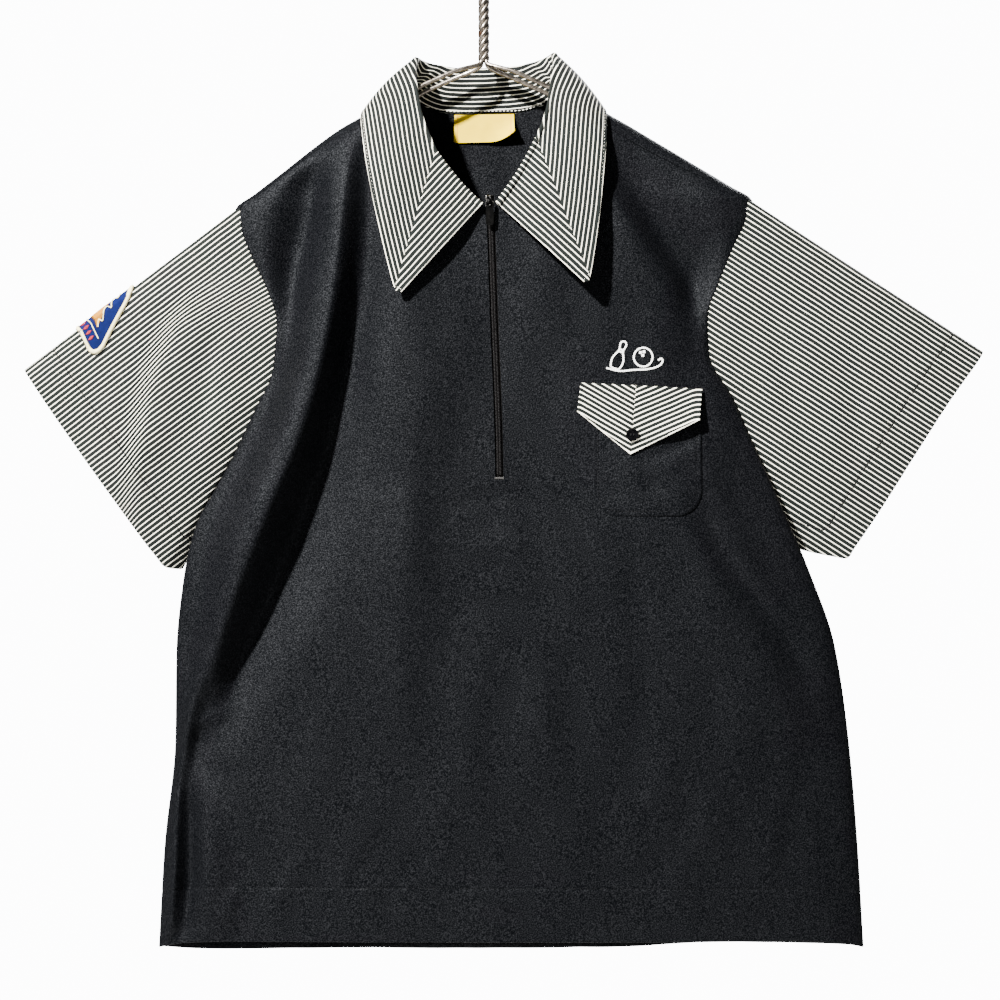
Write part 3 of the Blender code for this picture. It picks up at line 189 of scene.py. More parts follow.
FRONT_FOLDS = {
    "long ridge on the left": fold(
        (0.160, -0.108, 0.000, 0.020, 0.012),
        (0.205, -0.118, 0.008, 0.030, 0.011),
        (0.330, -0.133, 0.018, 0.038, 0.013),
        (0.416, -0.152, 0.022, 0.042, 0.015),
        (0.511, -0.189, 0.024, 0.040, 0.016),
        (0.585, -0.218, 0.022, 0.035, 0.016),
        (0.650, -0.240, 0.016, 0.030, 0.015),
        (0.725, -0.252, 0.000, 0.020, 0.014),
    ),
    "hollow beside it": fold(
        (0.190, -0.098, 0.000, 0.012, 0.012),
        (0.295, -0.104, -0.007, 0.013, 0.013),
        (0.372, -0.117, -0.011, 0.015, 0.017),
        (0.463, -0.138, -0.015, 0.018, 0.030),
        (0.525, -0.162, -0.016, 0.018, 0.034),
        (0.592, -0.188, -0.015, 0.018, 0.032),
        (0.655, -0.214, -0.010, 0.016, 0.028),
        (0.725, -0.238, 0.000, 0.014, 0.024),
    ),
    "hollow under the left shoulder": fold(
        (0.195, -0.143, 0.000, 0.018, 0.016),
        (0.230, -0.152, -0.016, 0.021, 0.015),
        (0.275, -0.160, -0.022, 0.022, 0.016),
        (0.325, -0.171, -0.018, 0.021, 0.017),
        (0.395, -0.184, 0.000, 0.018, 0.018),
    ),
    "ridge above the left hem": fold(
        (0.735, -0.248, 0.000, 0.020, 0.009),
        (0.775, -0.244, 0.006, 0.012, 0.016),
        (0.830, -0.243, 0.007, 0.012, 0.018),
        (0.880, -0.247, 0.005, 0.014, 0.020),
        (0.900, -0.250, 0.003, 0.014, 0.020),
    ),
    "slope under the right armhole": fold(
        (0.430, 0.130, 0.000, 0.060, 0.040),
        (0.520, 0.165, 0.006, 0.060, 0.032),
        (0.600, 0.218, 0.007, 0.060, 0.032),
        (0.680, 0.255, 0.004, 0.060, 0.030),
        (0.740, 0.270, 0.000, 0.060, 0.030),
    ),
    "hollow under the right shoulder": fold(
        (0.190, 0.112, 0.000, 0.014, 0.030),
        (0.230, 0.131, -0.009, 0.017, 0.038),
        (0.285, 0.166, -0.015, 0.019, 0.036),
        (0.325, 0.188, -0.017, 0.020, 0.030),
        (0.360, 0.200, -0.011, 0.020, 0.024),
        (0.405, 0.206, 0.000, 0.020, 0.020),
    ),
    "chest under the left collar point": fold(
        (0.200, -0.064, 0.000, 0.018, 0.040),
        (0.270, -0.068, 0.005, 0.020, 0.042),
        (0.325, -0.068, 0.008, 0.022, 0.045),
        (0.400, -0.076, 0.005, 0.026, 0.050),
        (0.480, -0.084, 0.000, 0.030, 0.050),
    ),
    "soft wave left of the zip": fold(
        (0.330, -0.052, 0.000, 0.030, 0.030),
        (0.480, -0.060, 0.004, 0.030, 0.030),
        (0.600, -0.070, 0.003, 0.030, 0.030),
        (0.700, -0.080, 0.000, 0.030, 0.030),
    ),
}
BACK_FOLDS = {
    "drape from the left armhole": fold(
        (0.330, -0.090, 0.000, 0.040, 0.025),
        (0.450, -0.120, 0.010, 0.045, 0.030),
        (0.600, -0.165, 0.012, 0.045, 0.035),
        (0.720, -0.195, 0.006, 0.040, 0.035),
        (0.840, -0.205, 0.000, 0.035, 0.035),
    ),
    "drape from the right armhole": fold(
        (0.300, 0.095, 0.000, 0.025, 0.040),
        (0.440, 0.135, 0.009, 0.030, 0.045),
        (0.600, 0.190, 0.011, 0.035, 0.045),
        (0.740, 0.225, 0.005, 0.035, 0.045),
        (0.850, 0.235, 0.000, 0.035, 0.040),
    ),
    "hollow down the middle": fold(
        (0.260, 0.010, 0.000, 0.040, 0.040),
        (0.450, 0.005, -0.005, 0.045, 0.045),
        (0.700, 0.000, -0.006, 0.055, 0.055),
        (0.900, -0.005, -0.003, 0.060, 0.060),
    ),
}
# The shares of the section's depth where the folds begin and are full, and the same for the creases.
FOLDS_START, FOLDS_FULL = 0.30, 0.65
CREASES_START, CREASES_REACH = 0.12, 0.25

# The small creases, in millimetres: x, drop, height outwards, and the reach to either side of each bend.
FRONT_CREASES = [
    # puckers under the end of the zip
    [(-48, 512, 0, 8, 8), (-22, 505, -0.8, 9, 7), (6, 497, -1.0, 8, 6), (34, 503, -0.6, 8, 7),
     (52, 512, 0, 8, 8)],
    [(-28, 545, 0, 10, 10), (0, 538, 0.9, 12, 10), (32, 541, 1.1, 13, 10), (66, 552, 0, 10, 10)],
    [(14, 484, 0, 7, 7), (12, 500, -1.0, 7, 6), (8, 522, -0.7, 8, 7), (2, 540, 0, 8, 8)],
    [(-40, 585, 0, 12, 12), (4, 594, -0.8, 14, 12), (48, 590, -0.7, 14, 12), (84, 578, 0, 12, 12)],
    [(30, 520, 0, 9, 9), (44, 536, -0.9, 10, 9), (58, 560, 0, 9, 9)],
    # soft folds that hang from the chest
    [(-58, 330, 0, 18, 18), (-62, 420, 1.6, 20, 15), (-66, 540, 2.6, 22, 16), (-72, 640, 1.4, 22, 20),
     (-78, 720, 0, 20, 20)],
    [(-20, 600, 0, 16, 16), (-10, 660, 1.7, 18, 14), (-6, 740, 1.5, 18, 16), (-4, 820, 0, 16, 16)],
    [(128, 545, 0, 14, 14), (132, 600, -2.0, 16, 12), (138, 680, -1.6, 16, 14), (146, 760, 0, 14, 14)],
    [(44, 610, 0, 16, 16), (50, 690, 1.4, 18, 14), (60, 790, 1.2, 18, 16), (66, 860, 0, 16, 16)],
    # drag lines from the right armhole
    [(176, 500, 0, 10, 10), (204, 546, -4.0, 14, 8), (238, 594, -4.6, 15, 8), (272, 640, -3.0, 14, 9),
     (298, 672, 0, 12, 12)],
    [(186, 440, 0, 10, 10), (196, 486, 1.8, 12, 9), (216, 540, 1.4, 12, 10), (244, 600, 0, 12, 12)],
    [(92, 214, 0, 9, 9), (104, 234, 1.6, 12, 7), (138, 280, 2.2, 14, 7), (168, 322, 1.4, 14, 8),
     (184, 350, 0, 10, 10)],
    # creases at the left shoulder and beside the collar
    [(-150, 212, 0, 12, 12), (-140, 262, -2.0, 14, 9), (-143, 320, -2.4, 13, 10), (-154, 372, -1.4, 12, 10),
     (-168, 410, 0, 10, 10)],
    [(-118, 196, 0, 9, 9), (-112, 240, 1.6, 10, 7), (-116, 300, 1.2, 12, 8), (-122, 350, 0, 10, 10)],
    # creases that run up from the hem
    [(-122, 868, 0, 8, 8), (-112, 836, -1.1, 10, 7), (-94, 806, -1.2, 11, 7), (-76, 780, 0, 9, 9)],
    [(-86, 858, 0, 7, 7), (-76, 838, -0.8, 9, 7), (-62, 818, -0.9, 9, 7), (-50, 800, 0, 8, 8)],
    [(-188, 878, 0, 8, 8), (-180, 852, 1.6, 9, 6), (-168, 830, 1.4, 10, 6), (-158, 806, 0, 9, 9)],
    [(-228, 884, 0, 6, 6), (-226, 866, 2.0, 6, 5), (-218, 846, 1.6, 7, 5), (-210, 832, 0, 6, 6)],
    [(-271, 722, 0, 7, 6), (-270, 765, 8, 8, 6), (-271, 830, 10, 8, 6), (-275, 875, 7, 8, 6),
     (-282, 893, 3, 7, 6)],
    [(-259, 735, 0, 6, 7), (-257, 780, -5, 6, 8), (-257, 835, -6, 6, 8), (-262, 880, -3, 6, 7),
     (-266, 893, 0, 6, 6)],
    [(-236, 628, 0, 12, 8), (-250, 664, 6, 11, 8), (-260, 702, 8, 9, 8), (-267, 742, 5, 8, 7),
     (-271, 778, 0, 7, 7)],
    [(-230, 640, 0, 8, 12), (-240, 676, -4, 8, 12), (-249, 712, -6, 8, 12), (-257, 752, 0, 7, 10)],
    [(-258, 706, 0, 5, 5), (-244, 694, 2.4, 6, 4), (-228, 686, 1.8, 7, 5), (-214, 682, 0, 6, 6)],
    [(150, 880, 0, 14, 14), (166, 838, 1.2, 15, 12), (190, 790, 1.2, 15, 12), (214, 740, 0, 14, 14)],
    [(250, 884, 0, 12, 12), (262, 820, -1.5, 14, 10), (276, 750, -1.6, 14, 10), (284, 690, 0, 12, 12)],
]
BACK_CREASES = [
    [(-36, 190, 0, 12, 12), (-60, 240, -1.8, 14, 10), (-92, 300, -1.6, 14, 10), (-124, 360, 0, 12, 12)],
    [(40, 190, 0, 12, 12), (70, 244, -1.6, 13, 10), (104, 306, -1.8, 14, 10), (136, 366, 0, 12, 12)],
    [(-190, 470, 0, 10, 10), (-160, 512, -2.4, 12, 8), (-128, 566, -1.8, 13, 10), (-104, 630, 0, 12, 12)],
    [(204, 476, 0, 10, 10), (170, 520, -2.2, 12, 8), (140, 580, -1.8, 13, 10), (120, 650, 0, 12, 12)],
    [(-30, 300, 0, 18, 18), (-36, 420, 1.6, 20, 15), (-46, 560, 1.8, 20, 16), (-52, 700, 0, 18, 18)],
    [(66, 380, 0, 16, 16), (74, 500, 1.5, 18, 14), (86, 640, 1.6, 18, 14), (92, 780, 0, 16, 16)],
    [(-140, 880, 0, 10, 10), (-126, 830, -1.5, 12, 9), (-108, 780, -1.3, 12, 9), (-96, 740, 0, 10, 10)],
    [(170, 880, 0, 10, 10), (156, 834, -1.4, 12, 9), (140, 790, -1.3, 12, 9), (128, 750, 0, 10, 10)],
    [(10, 884, 0, 12, 12), (4, 820, 1.4, 13, 11), (8, 760, 1.2, 13, 11), (16, 700, 0, 12, 12)],
]


def swell(folds, x, drop):
    """How far the folds push the cloth out: each is a bell across its line, as high as its rows say."""
    total = np.zeros(np.broadcast(x, drop).shape)
    for rows in folds.values():
        inside = (drop > rows["drop"][0]) & (drop < rows["drop"][-1])
        away = x - along(rows, "x", drop)
        width = np.where(away < 0, along(rows, "left_width", drop), along(rows, "right_width", drop))
        total += np.where(inside, along(rows, "height", drop) * np.exp(-((away / width) ** 2)), 0.0)
    return total


def creased(creases, x, drop):
    """How far the creases push the cloth out: for each, height times exp(-(distance / reach) squared).

    The distance is to the crease's bent line, and height and reach run evenly from bend to bend. The first
    reach is that of the side on the right of someone who walks along the line, seen from in front.
    """
    total = np.zeros(np.broadcast(x, drop).shape)
    for crease in creases:
        bends = np.array(crease) / 1000.0
        nearest, value = np.full(total.shape, np.inf), np.zeros(total.shape)
        for start, end in zip(bends[:-1], bends[1:]):
            step = end[:2] - start[:2]
            share = np.clip(((x - start[0]) * step[0] + (drop - start[1]) * step[1]) / (step @ step), 0, 1)
            across, down = x - start[0] - share * step[0], drop - start[1] - share * step[1]
            away = np.hypot(across, down)
            here = start + share[..., None] * (end - start)
            reach = np.where(across * step[1] - down * step[0] < 0, here[..., 3], here[..., 4])
            value = np.where(away < nearest, here[..., 2] * np.exp(-((away / reach) ** 2)), value)
            nearest = np.minimum(away, nearest)
        total += value
    return total


def uneven(x, drop, seed, size=0.05, height=0.0006):
    """Faint unevenness of hanging cloth: the sum of eight slanted sine waves of random turn and phase."""
    draw = np.random.default_rng(seed)
    total = np.zeros(np.broadcast(x, drop).shape)
    for _ in range(8):
        turn, phase = draw.uniform(0, 2 * math.pi, 2)
        wave = size * draw.uniform(0.6, 1.8)
        total += np.sin((x * math.cos(turn) + drop * math.sin(turn) * 0.6) * 2 * math.pi / wave + phase)
    return height * total / 3


def body(angle, drop):
    """The body's outer surface. 0 degrees is its left edge, 90 the front, 180 the right edge, -90 the back.

    The section is a superellipse whose front and back halves differ. The folds and creases push it out or
    in, and fade towards the edges.
    """
    angle, drop = np.broadcast_arrays(np.radians(angle), drop)
    left, right, front, back, left_edge, right_edge, tilt, roundness = (
        along(BODY, column, drop) for column in list(BODY)[1:]
    )
    cosine, sine = np.cos(angle), np.sin(angle)
    in_front = sine > 0
    power = 2 / np.where(in_front, FRONT_ROUNDNESS, roundness)
    across = np.sign(cosine) * np.abs(cosine) ** power
    reach = np.abs(sine) ** power
    x = (left + right) / 2 - (right - left) / 2 * across
    edge = left_edge * (1 + across) / 2 + right_edge * (1 - across) / 2
    y = edge * (1 - reach) + np.where(in_front, -front, back) * reach
    z = -drop - tilt * across / 2
    fade = soft_step((np.abs(sine) - FOLDS_START) / (FOLDS_FULL - FOLDS_START))
    y = y - fade * np.where(in_front, swell(FRONT_FOLDS, x, drop), -swell(BACK_FOLDS, x, drop))
    fade = soft_step((np.abs(sine) - CREASES_START) / CREASES_REACH)
    small_front = creased(FRONT_CREASES, x, drop) + uneven(x, drop, 4)
    small_back = creased(BACK_CREASES, x, drop) + uneven(x, drop, 9)
    y = y - fade * np.where(in_front, small_front, -small_back)
    return np.stack([x, y, z], axis=-1)


def angle_at(x, drop, in_front=True):
    """The angle at which the body's section has this x, on its front or its back."""
    left, right = along(BODY, "left", drop), along(BODY, "right", drop)
    roundness = FRONT_ROUNDNESS if in_front else along(BODY, "back_roundness", drop)
    across = ((left + right) / 2 - x) / ((right - left) / 2)
    angle = np.degrees(np.arccos(np.clip(np.sign(across) * np.abs(across) ** (roundness / 2), -1, 1)))
    return angle if in_front else -angle


def hang(angle, drop):
    """The drops of a panel's points, with the rows above the hem bent down to its real line."""
    in_front = np.sin(np.radians(angle)) > 0
    middle = soft_step(np.abs(np.sin(np.radians(angle))) / 0.7)
    x = body(angle, np.broadcast_to(drop, angle.shape))[..., 0]
    level = 1 - soft_step((x - BACK_HEM_LEVEL[0]) / (BACK_HEM_LEVEL[1] - BACK_HEM_LEVEL[0]))
    change = np.where(in_front, -FRONT_HEM_RISE, BACK_HEM_FALL * level) * middle
    return drop + change * soft_step((drop - HEM_BEND_START) / (HEM - HEM_BEND_START))


def on_front(x, drop, out=0.0):
    """Points of the front at these x and true drops, moved out of it by a distance."""
    x, drop = np.broadcast_arrays(np.asarray(x, float), np.asarray(drop, float))
    section = drop
    for _ in range(3):
        left, right = along(BODY, "left", section), along(BODY, "right", section)
        section = drop - along(BODY, "tilt", section) / 2 * ((left + right) / 2 - x) / ((right - left) / 2)
    point = body(angle_at(x, section), section)
    point[..., 1] -= out
    return point


def across_body(start, end, drop, columns, gap_start=0.0, gap_end=0.0, turn_weight=0.030):
    """Angles spaced along one section, short of each end by its gap, closer where the section turns."""
    angles = np.linspace(start, end, 241)
    line = body(angles, drop)
    measured = lengths(line)
    angles = np.interp(np.linspace(gap_start, measured[-1] - gap_end, 241), measured, angles)
    line = body(angles, drop)
    steps = np.diff(line, axis=0)
    heading = np.unwrap(np.arctan2(steps[:, 1], steps[:, 0]))
    turned = np.concatenate([[0.0], np.cumsum(np.abs(np.diff(heading, prepend=heading[:1])))])
    weight = lengths(line) + turn_weight * turned
    return np.interp(np.linspace(0, weight[-1], columns + 1), weight, angles)


def normals(grid, ring=False):
    """Unit normals of a grid of points: the cross product of its steps down the rows and across them."""
    if ring:
        around = np.concatenate([grid[:, -1:], grid, grid[:, :1]], axis=1)
        across = np.gradient(around, axis=1)[:, 1:-1]
    else:
        across = np.gradient(grid, axis=1)
    normal = np.cross(np.gradient(grid, axis=0), across)
    return normal / np.maximum(np.linalg.norm(normal, axis=-1, keepdims=True), 1e-12)


def rounded(distance, wall):
    """How far each face of a wall draws in near its edge, so that the edge is a half circle of cloth."""
    radius = wall / 2
    inside = np.clip(radius - distance, 0.0, 0.96 * radius)
    return radius - np.sqrt(radius**2 - inside**2)


def make_mesh(name, points, faces, uv, material, smooth_to=50):
    """A mesh object from arrays of points, faces and a UV for each point, in metres of cloth."""
    mesh = bpy.data.meshes.new(name)
    mesh.from_pydata(points.tolist(), [], faces.tolist())
    if uv is not None:
        layer = mesh.uv_layers.new(name="cloth")
        layer.data.foreach_set("uv", uv[faces.ravel()].astype(np.float32).ravel())
    mesh.materials.append(material)
    mesh.shade_smooth()
    mesh.set_sharp_from_angle(angle=math.radians(smooth_to))
    piece = bpy.data.objects.new(name, mesh)
    bpy.context.scene.collection.objects.link(piece)
    return piece


def sew_cloth(name, grid, uv, wall, material, keep=None, ring=False, flip=False, middle=False, facing=None,
              draw_in=0.0):
    """A wall of cloth on a grid: its outer face is the grid, its inner face the grid less wall times the
    normal, and a rim joins the two along every open edge. With middle set, the grid is the wall's middle.
    Both faces then draw in by the given distance.
    """
    rows, columns = grid.shape[:2]
    count = rows * columns
    index = np.arange(count).reshape(rows, columns)
    if ring:
        index = np.hstack([index, index[:, :1]])
    corners = [index[:-1, :-1], index[1:, :-1], index[1:, 1:], index[:-1, 1:]]
    cells = np.stack(corners[::-1] if flip else corners, axis=-1)
    cells = cells[keep] if keep is not None else cells.reshape(-1, 4)
    if facing is None:
        facing = normals(grid, ring) * (-1 if flip else 1)
    wall = np.broadcast_to(wall, grid.shape[:2])[..., None]
    outer = grid + facing * wall / 2 if middle else grid
    inner = outer - facing * wall
    draw_in = np.broadcast_to(draw_in, grid.shape[:2])[..., None]
    outer, inner = outer - facing * draw_in, inner + facing * draw_in
    starts, ends = cells.ravel(), np.roll(cells, -1, axis=1).ravel()
    open_edge = ~np.isin(starts * count + ends, ends * count + starts)
    starts, ends = starts[open_edge], ends[open_edge]
    rim = np.stack([ends, starts, starts + count, ends + count], axis=-1)
    points = np.concatenate([outer.reshape(-1, 3), inner.reshape(-1, 3)])
    used, faces = np.unique(np.concatenate([cells, cells[:, ::-1] + count, rim]), return_inverse=True)
    flat = np.concatenate([uv.reshape(-1, 2)] * 2)
    return make_mesh(name, points[used], faces.reshape(-1, 4), flat[used], material)


def put(socket, value):
    """Links an output to the socket, or sets the socket to a number or a colour."""
    if isinstance(value, bpy.types.NodeSocket):
        socket.id_data.links.new(value, socket)
    elif isinstance(value, tuple) and socket.type == "RGBA":
        socket.default_value = (*value, 1.0)
    else:
        socket.default_value = value


def start_material(name, roughness, metallic=0.0, specular=0.5, sheen=0.0, sheen_roughness=0.5):
    """A Principled material; returns it, its tree, its shader and its two places: object and UV."""
    material = bpy.data.materials.new(name)
    material.use_nodes = True
    tree = material.node_tree
    shader = tree.nodes["Principled BSDF"]
    shader.inputs["Roughness"].default_value = roughness
    shader.inputs["Metallic"].default_value = metallic
    shader.inputs["Specular IOR Level"].default_value = specular
    shader.inputs["Sheen Weight"].default_value = sheen
    shader.inputs["Sheen Roughness"].default_value = sheen_roughness
    place = tree.nodes.new("ShaderNodeTexCoord")
    return material, tree, shader, place.outputs["Object"], place.outputs["UV"]


def calculate(tree, operation, first, second=0.0, third=0.0):
    """A maths node."""
    node = tree.nodes.new("ShaderNodeMath")
    node.operation = operation
    for socket, value in zip(node.inputs, (first, second, third)):
        put(socket, value)
    return node.outputs[0]


def grain(tree, place, size, detail=2.0, stretch=None):
    """Noise from 0 to 1 whose spots are about this many metres across, longer where stretched."""
    if stretch:
        mapping = tree.nodes.new("ShaderNodeMapping")
        put(mapping.inputs["Vector"], place)
        mapping.inputs["Scale"].default_value = stretch
        place = mapping.outputs["Vector"]
    node = tree.nodes.new("ShaderNodeTexNoise")
    put(node.inputs["Vector"], place)
    node.inputs["Scale"].default_value = 1 / size
    node.inputs["Detail"].default_value = detail
    return node.outputs["Fac"]


def rise(tree, value, low, high, start=0.0, end=1.0):
    """The value moved evenly from low..high to start..end, and held at its ends."""
    node = tree.nodes.new("ShaderNodeMapRange")
    for socket, number in zip(node.inputs, (value, low, high, start, end)):
        put(socket, number)
    return node.outputs["Result"]


def mix(tree, share, first, second):
    """The first colour at share 0 and the second at share 1."""
    node = tree.nodes.new("ShaderNodeMix")
    node.data_type = "RGBA"
    put(node.inputs["Factor"], share)
    put(node.inputs[6], first)
    put(node.inputs[7], second)
    return node.outputs[2]


def relief(tree, shader, height, distance, strength=1.0):
    """Makes the surface look as if it rose by height times distance."""
    node = tree.nodes.new("ShaderNodeBump")
    put(node.inputs["Height"], height)
    node.inputs["Distance"].default_value = distance
    node.inputs["Strength"].default_value = strength
    tree.links.new(node.outputs["Normal"], shader.inputs["Normal"])


def knit_loops(tree, flat, wale=0.00105, course=0.00085):
    """Rows of loops: a sine across the wales times one down the courses."""
    split = tree.nodes.new("ShaderNodeSeparateXYZ")
    put(split.inputs[0], flat)
    wales = calculate(tree, "SINE", calculate(tree, "MULTIPLY", split.outputs["X"], 2 * math.pi / wale))
    courses = calculate(tree, "SINE", calculate(tree, "MULTIPLY", split.outputs["Y"], 2 * math.pi / course))
    return calculate(tree, "MULTIPLY_ADD", wales, courses, 1.0)


def dye_black():
    """Black double knit: near black with a cool cast, fine paler specks of filament, and a broad gloss."""
    material, tree, shader, place, flat = start_material("black double knit", 0.55, 0, 0.04, 0.001, 0.45)
    shader.inputs["Specular Tint"].default_value = (0.90, 0.94, 1.0, 1.0)
    specks = rise(tree, grain(tree, place, 0.0011, 2), 0.43, 0.66)
    put(shader.inputs["Specular IOR Level"], rise(tree, specks, 0.0, 1.0, 0.012, 0.064))
    cloud = rise(tree, grain(tree, place, 0.06, 2), 0.35, 0.65)
    ground = mix(tree, cloud, (0.0003, 0.0004, 0.0006), (0.0005, 0.0006, 0.0008))
    put(shader.inputs["Base Color"], mix(tree, specks, ground, (0.0024, 0.0025, 0.0030)))
    put(shader.inputs["Roughness"], rise(tree, grain(tree, place, 0.0016, 2), 0.3, 0.7, 0.50, 0.62))
    loops = calculate(tree, "MULTIPLY_ADD", knit_loops(tree, flat), 0.05, grain(tree, place, 0.0010, 2))
    relief(tree, shader, loops, 0.00045)
    return material


BLACK_KNIT = dye_black()
THIN_WALL, HEM_WALL, HEM_DEPTH = 0.0010, 0.0017, 0.0480
HEM_ROWS = HEM - np.array([0.0040, 0.0022, 0.0012, 0.0007, 0.0004, 0.0002, 0.0])
STITCH_ROWS = HEM - HEM_DEPTH + np.array([-0.0026, -0.0015, -0.0008, 0.0, 0.0008, 0.0015, 0.0026])
# Each panel stops this far short of its seam line, measured across the body.
SEAM, SHOULDER_SEAM = 0.00004, 0.0005
HALF_FRONT = 74


def front_end(side, drop):
    angle = along(FRONT_END, side, drop)
    return angle if side == LEFT else 180 - angle


def flatten(grid):
    """UVs in metres: the length across each row from its middle column, and the length down the columns."""
    across = np.linalg.norm(np.diff(grid, axis=1), axis=-1)
    across = np.concatenate([np.zeros((len(grid), 1)), np.cumsum(across, axis=1)], axis=1)
    across = across - across[:, grid.shape[1] // 2][:, None]
    down = np.linalg.norm(np.diff(grid, axis=0), axis=-1).mean(axis=1)
    down = np.concatenate([[0.0], np.cumsum(down)])
    return np.stack([across, np.broadcast_to(down[:, None], across.shape)], axis=-1)


def hem_wall(drop):
    """The cloth's thickness: one layer, and two from the hem's stitching down."""
    return THIN_WALL + (HEM_WALL - THIN_WALL) * soft_step((drop - HEM + HEM_DEPTH) / 0.002)


def hem_draw_in(drop):
    """How far the hem's faces draw in: its fold is round, and the blind stitches pull a faint ditch."""
    ditch = 0.00032 * np.exp(-(((drop - HEM + HEM_DEPTH) / 0.0011) ** 2))
    return rounded(HEM - drop, hem_wall(drop)) + ditch


rows = np.concatenate([
    np.linspace(SHOULDER_TOP, 0.2400, 30),
    [SHOULDER_TIP, 0.2460],
    np.linspace(NECK_BOTTOM, ZIP_END, 70),
    np.linspace(ZIP_END, STITCH_ROWS[0], 88)[1:-1],
    STITCH_ROWS,
    np.linspace(STITCH_ROWS[-1], HEM_ROWS[0], 12)[1:-1],
    HEM_ROWS,
])
angles = []
for drop in rows:
    middle = along(ZIP_LINE, "x", drop)
    inner = [middle - SLIT / 2, middle + SLIT / 2]
    if drop < NECK_BOTTOM - 0.0001:
        inner = [along(FRONT_NECK, side, drop) for side in (LEFT, RIGHT)]
    left, right = (angle_at(x, drop) for x in inner)
    seam = SHOULDER_SEAM if drop < SHOULDER_TIP + 0.0001 else SEAM
    left_part = across_body(front_end(LEFT, drop), left, drop, HALF_FRONT, seam)
    right_part = across_body(right, front_end(RIGHT, drop), drop, HALF_FRONT, 0.0, seam)
    angles.append(np.concatenate([left_part, right_part]))
keep = np.ones((len(rows) - 1, 2 * HALF_FRONT + 1), bool)
keep[rows[:-1] < ZIP_END - 0.0001, HALF_FRONT] = False
angles = np.array(angles)
grid = body(angles, hang(angles, rows[:, None]))
front_hem = grid[list(rows).index(STITCH_ROWS[3])]
front = sew_cloth("front_cloth", grid, flatten(grid), hem_wall(rows)[:, None], BLACK_KNIT, keep,
                  draw_in=hem_draw_in(rows)[:, None])
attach(front, "shirt")
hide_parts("front")

# ---------------------------------------------------------------- chest pocket
# A patch pocket of the black knit with round lower corners, sewn on a few millimetres inside its edge, which
# rolls up. It sags a little between its top corners.

POCKET_LEFT, POCKET_RIGHT = 0.0945, 0.1895
POCKET_TOP, POCKET_BOTTOM = 0.4080, 0.5165
POCKET_CORNER = 0.022
POCKET_OUT, POCKET_ROLL = 0.0012, 0.0030
POCKET_CREASES = [
    [(128, 470, 0, 7, 7), (152, 463, -1.0, 8, 6), (174, 452, -1.5, 9, 7), (188, 447, -0.8, 7, 6)],
    [(140, 478, 0, 9, 9), (160, 470, 0.8, 10, 8), (182, 460, 0.9, 10, 8), (189, 458, 0, 8, 8)],
    [(96, 486, -0.8, 7, 7), (108, 496, -1.0, 8, 7), (124, 500, 0, 8, 8)],
    [(128, 476, 0, 9, 9), (146, 490, -1.2, 11, 9), (160, 502, 0, 9, 9)],
]


def away_from(points, line):
    """The distance of each point from a bent line."""
    nearest = np.full(points.shape[:-1], np.inf)
    for start, end in zip(line[:-1], line[1:]):
        step = end - start
        share = np.clip((points - start) @ step / max(step @ step, 1e-12), 0, 1)
        nearest = np.minimum(nearest, np.linalg.norm(points - start - share[..., None] * step, axis=-1))
    return nearest


def near_edge(length, columns, first=0.0002, last=0.0040):
    """Places along a length: evenly spaced, with eight more close to each end."""
    close = np.concatenate([[0.0], np.geomspace(first, last, 7)])
    return np.concatenate([close, np.linspace(last, length - last, columns)[1:-1], (length - close)[::-1]])


across = near_edge(POCKET_RIGHT - POCKET_LEFT, 76) / (POCKET_RIGHT - POCKET_LEFT)
drop = POCKET_TOP + near_edge(POCKET_BOTTOM - POCKET_TOP, 84)
into_corner = np.clip(drop - (POCKET_BOTTOM - POCKET_CORNER), 0, POCKET_CORNER)
inset = POCKET_CORNER - np.sqrt(POCKET_CORNER**2 - into_corner**2)
x = (POCKET_LEFT + inset)[:, None] * (1 - across) + (POCKET_RIGHT - inset)[:, None] * across
down = np.broadcast_to(drop[:, None], x.shape)
outline = np.concatenate([np.stack([x[:, 0], drop], -1), np.stack([x[-1], down[-1]], -1),
                          np.stack([x[::-1, -1], drop[::-1]], -1)])
inward = away_from(np.stack([x, down], axis=-1), outline)
# The edge stands up as a roll, more so on the right, and the stitching beside it pulls a faint ditch.
roll = np.sqrt(1 - (1 - np.clip(inward / POCKET_ROLL, 0, 1)) ** 2)
ditch = 0.0003 * np.exp(-(((inward - 0.0044) / 0.0013) ** 2))
height = 0.0003 + POCKET_OUT * roll * (0.3 + 0.9 * across) - ditch
fade = soft_step(inward / 0.006)
grid = on_front(x, down, height + fade * creased(POCKET_CREASES, x, down))
pocket = sew_cloth("pocket_cloth", grid, np.stack([x, down], axis=-1), 0.0005, BLACK_KNIT)
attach(pocket, "shirt")
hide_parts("pocket")

# ---------------------------------------------------------------- pocket flap
# A pointed flap of the striped knit in two halves, seamed down the middle so that their stripes meet in
# chevrons. It is sewn to the front along its top, lined with the same cloth and pressed flat.

FLAP = {
    "top": ((0.0840, 0.4010), (0.1320, 0.4030), (0.1900, 0.4060)),
    "bottom": ((0.0810, 0.4260), (0.1270, 0.4630), (0.1870, 0.4330)),
}
FLAP_OUT, FLAP_WALL = 0.0036, 0.0013
# Of each half's stripes: slope, length over which they level out before the flap's side, how much closer
# they lie than across the knit, and the drop at which an ivory one meets the mitre.
FLAP_STRIPES = ((0.58, 0.004, 0.902, 0.4611), (0.435, 0.008, 0.944, 0.4614))
STRIPE_PITCH = 0.0041


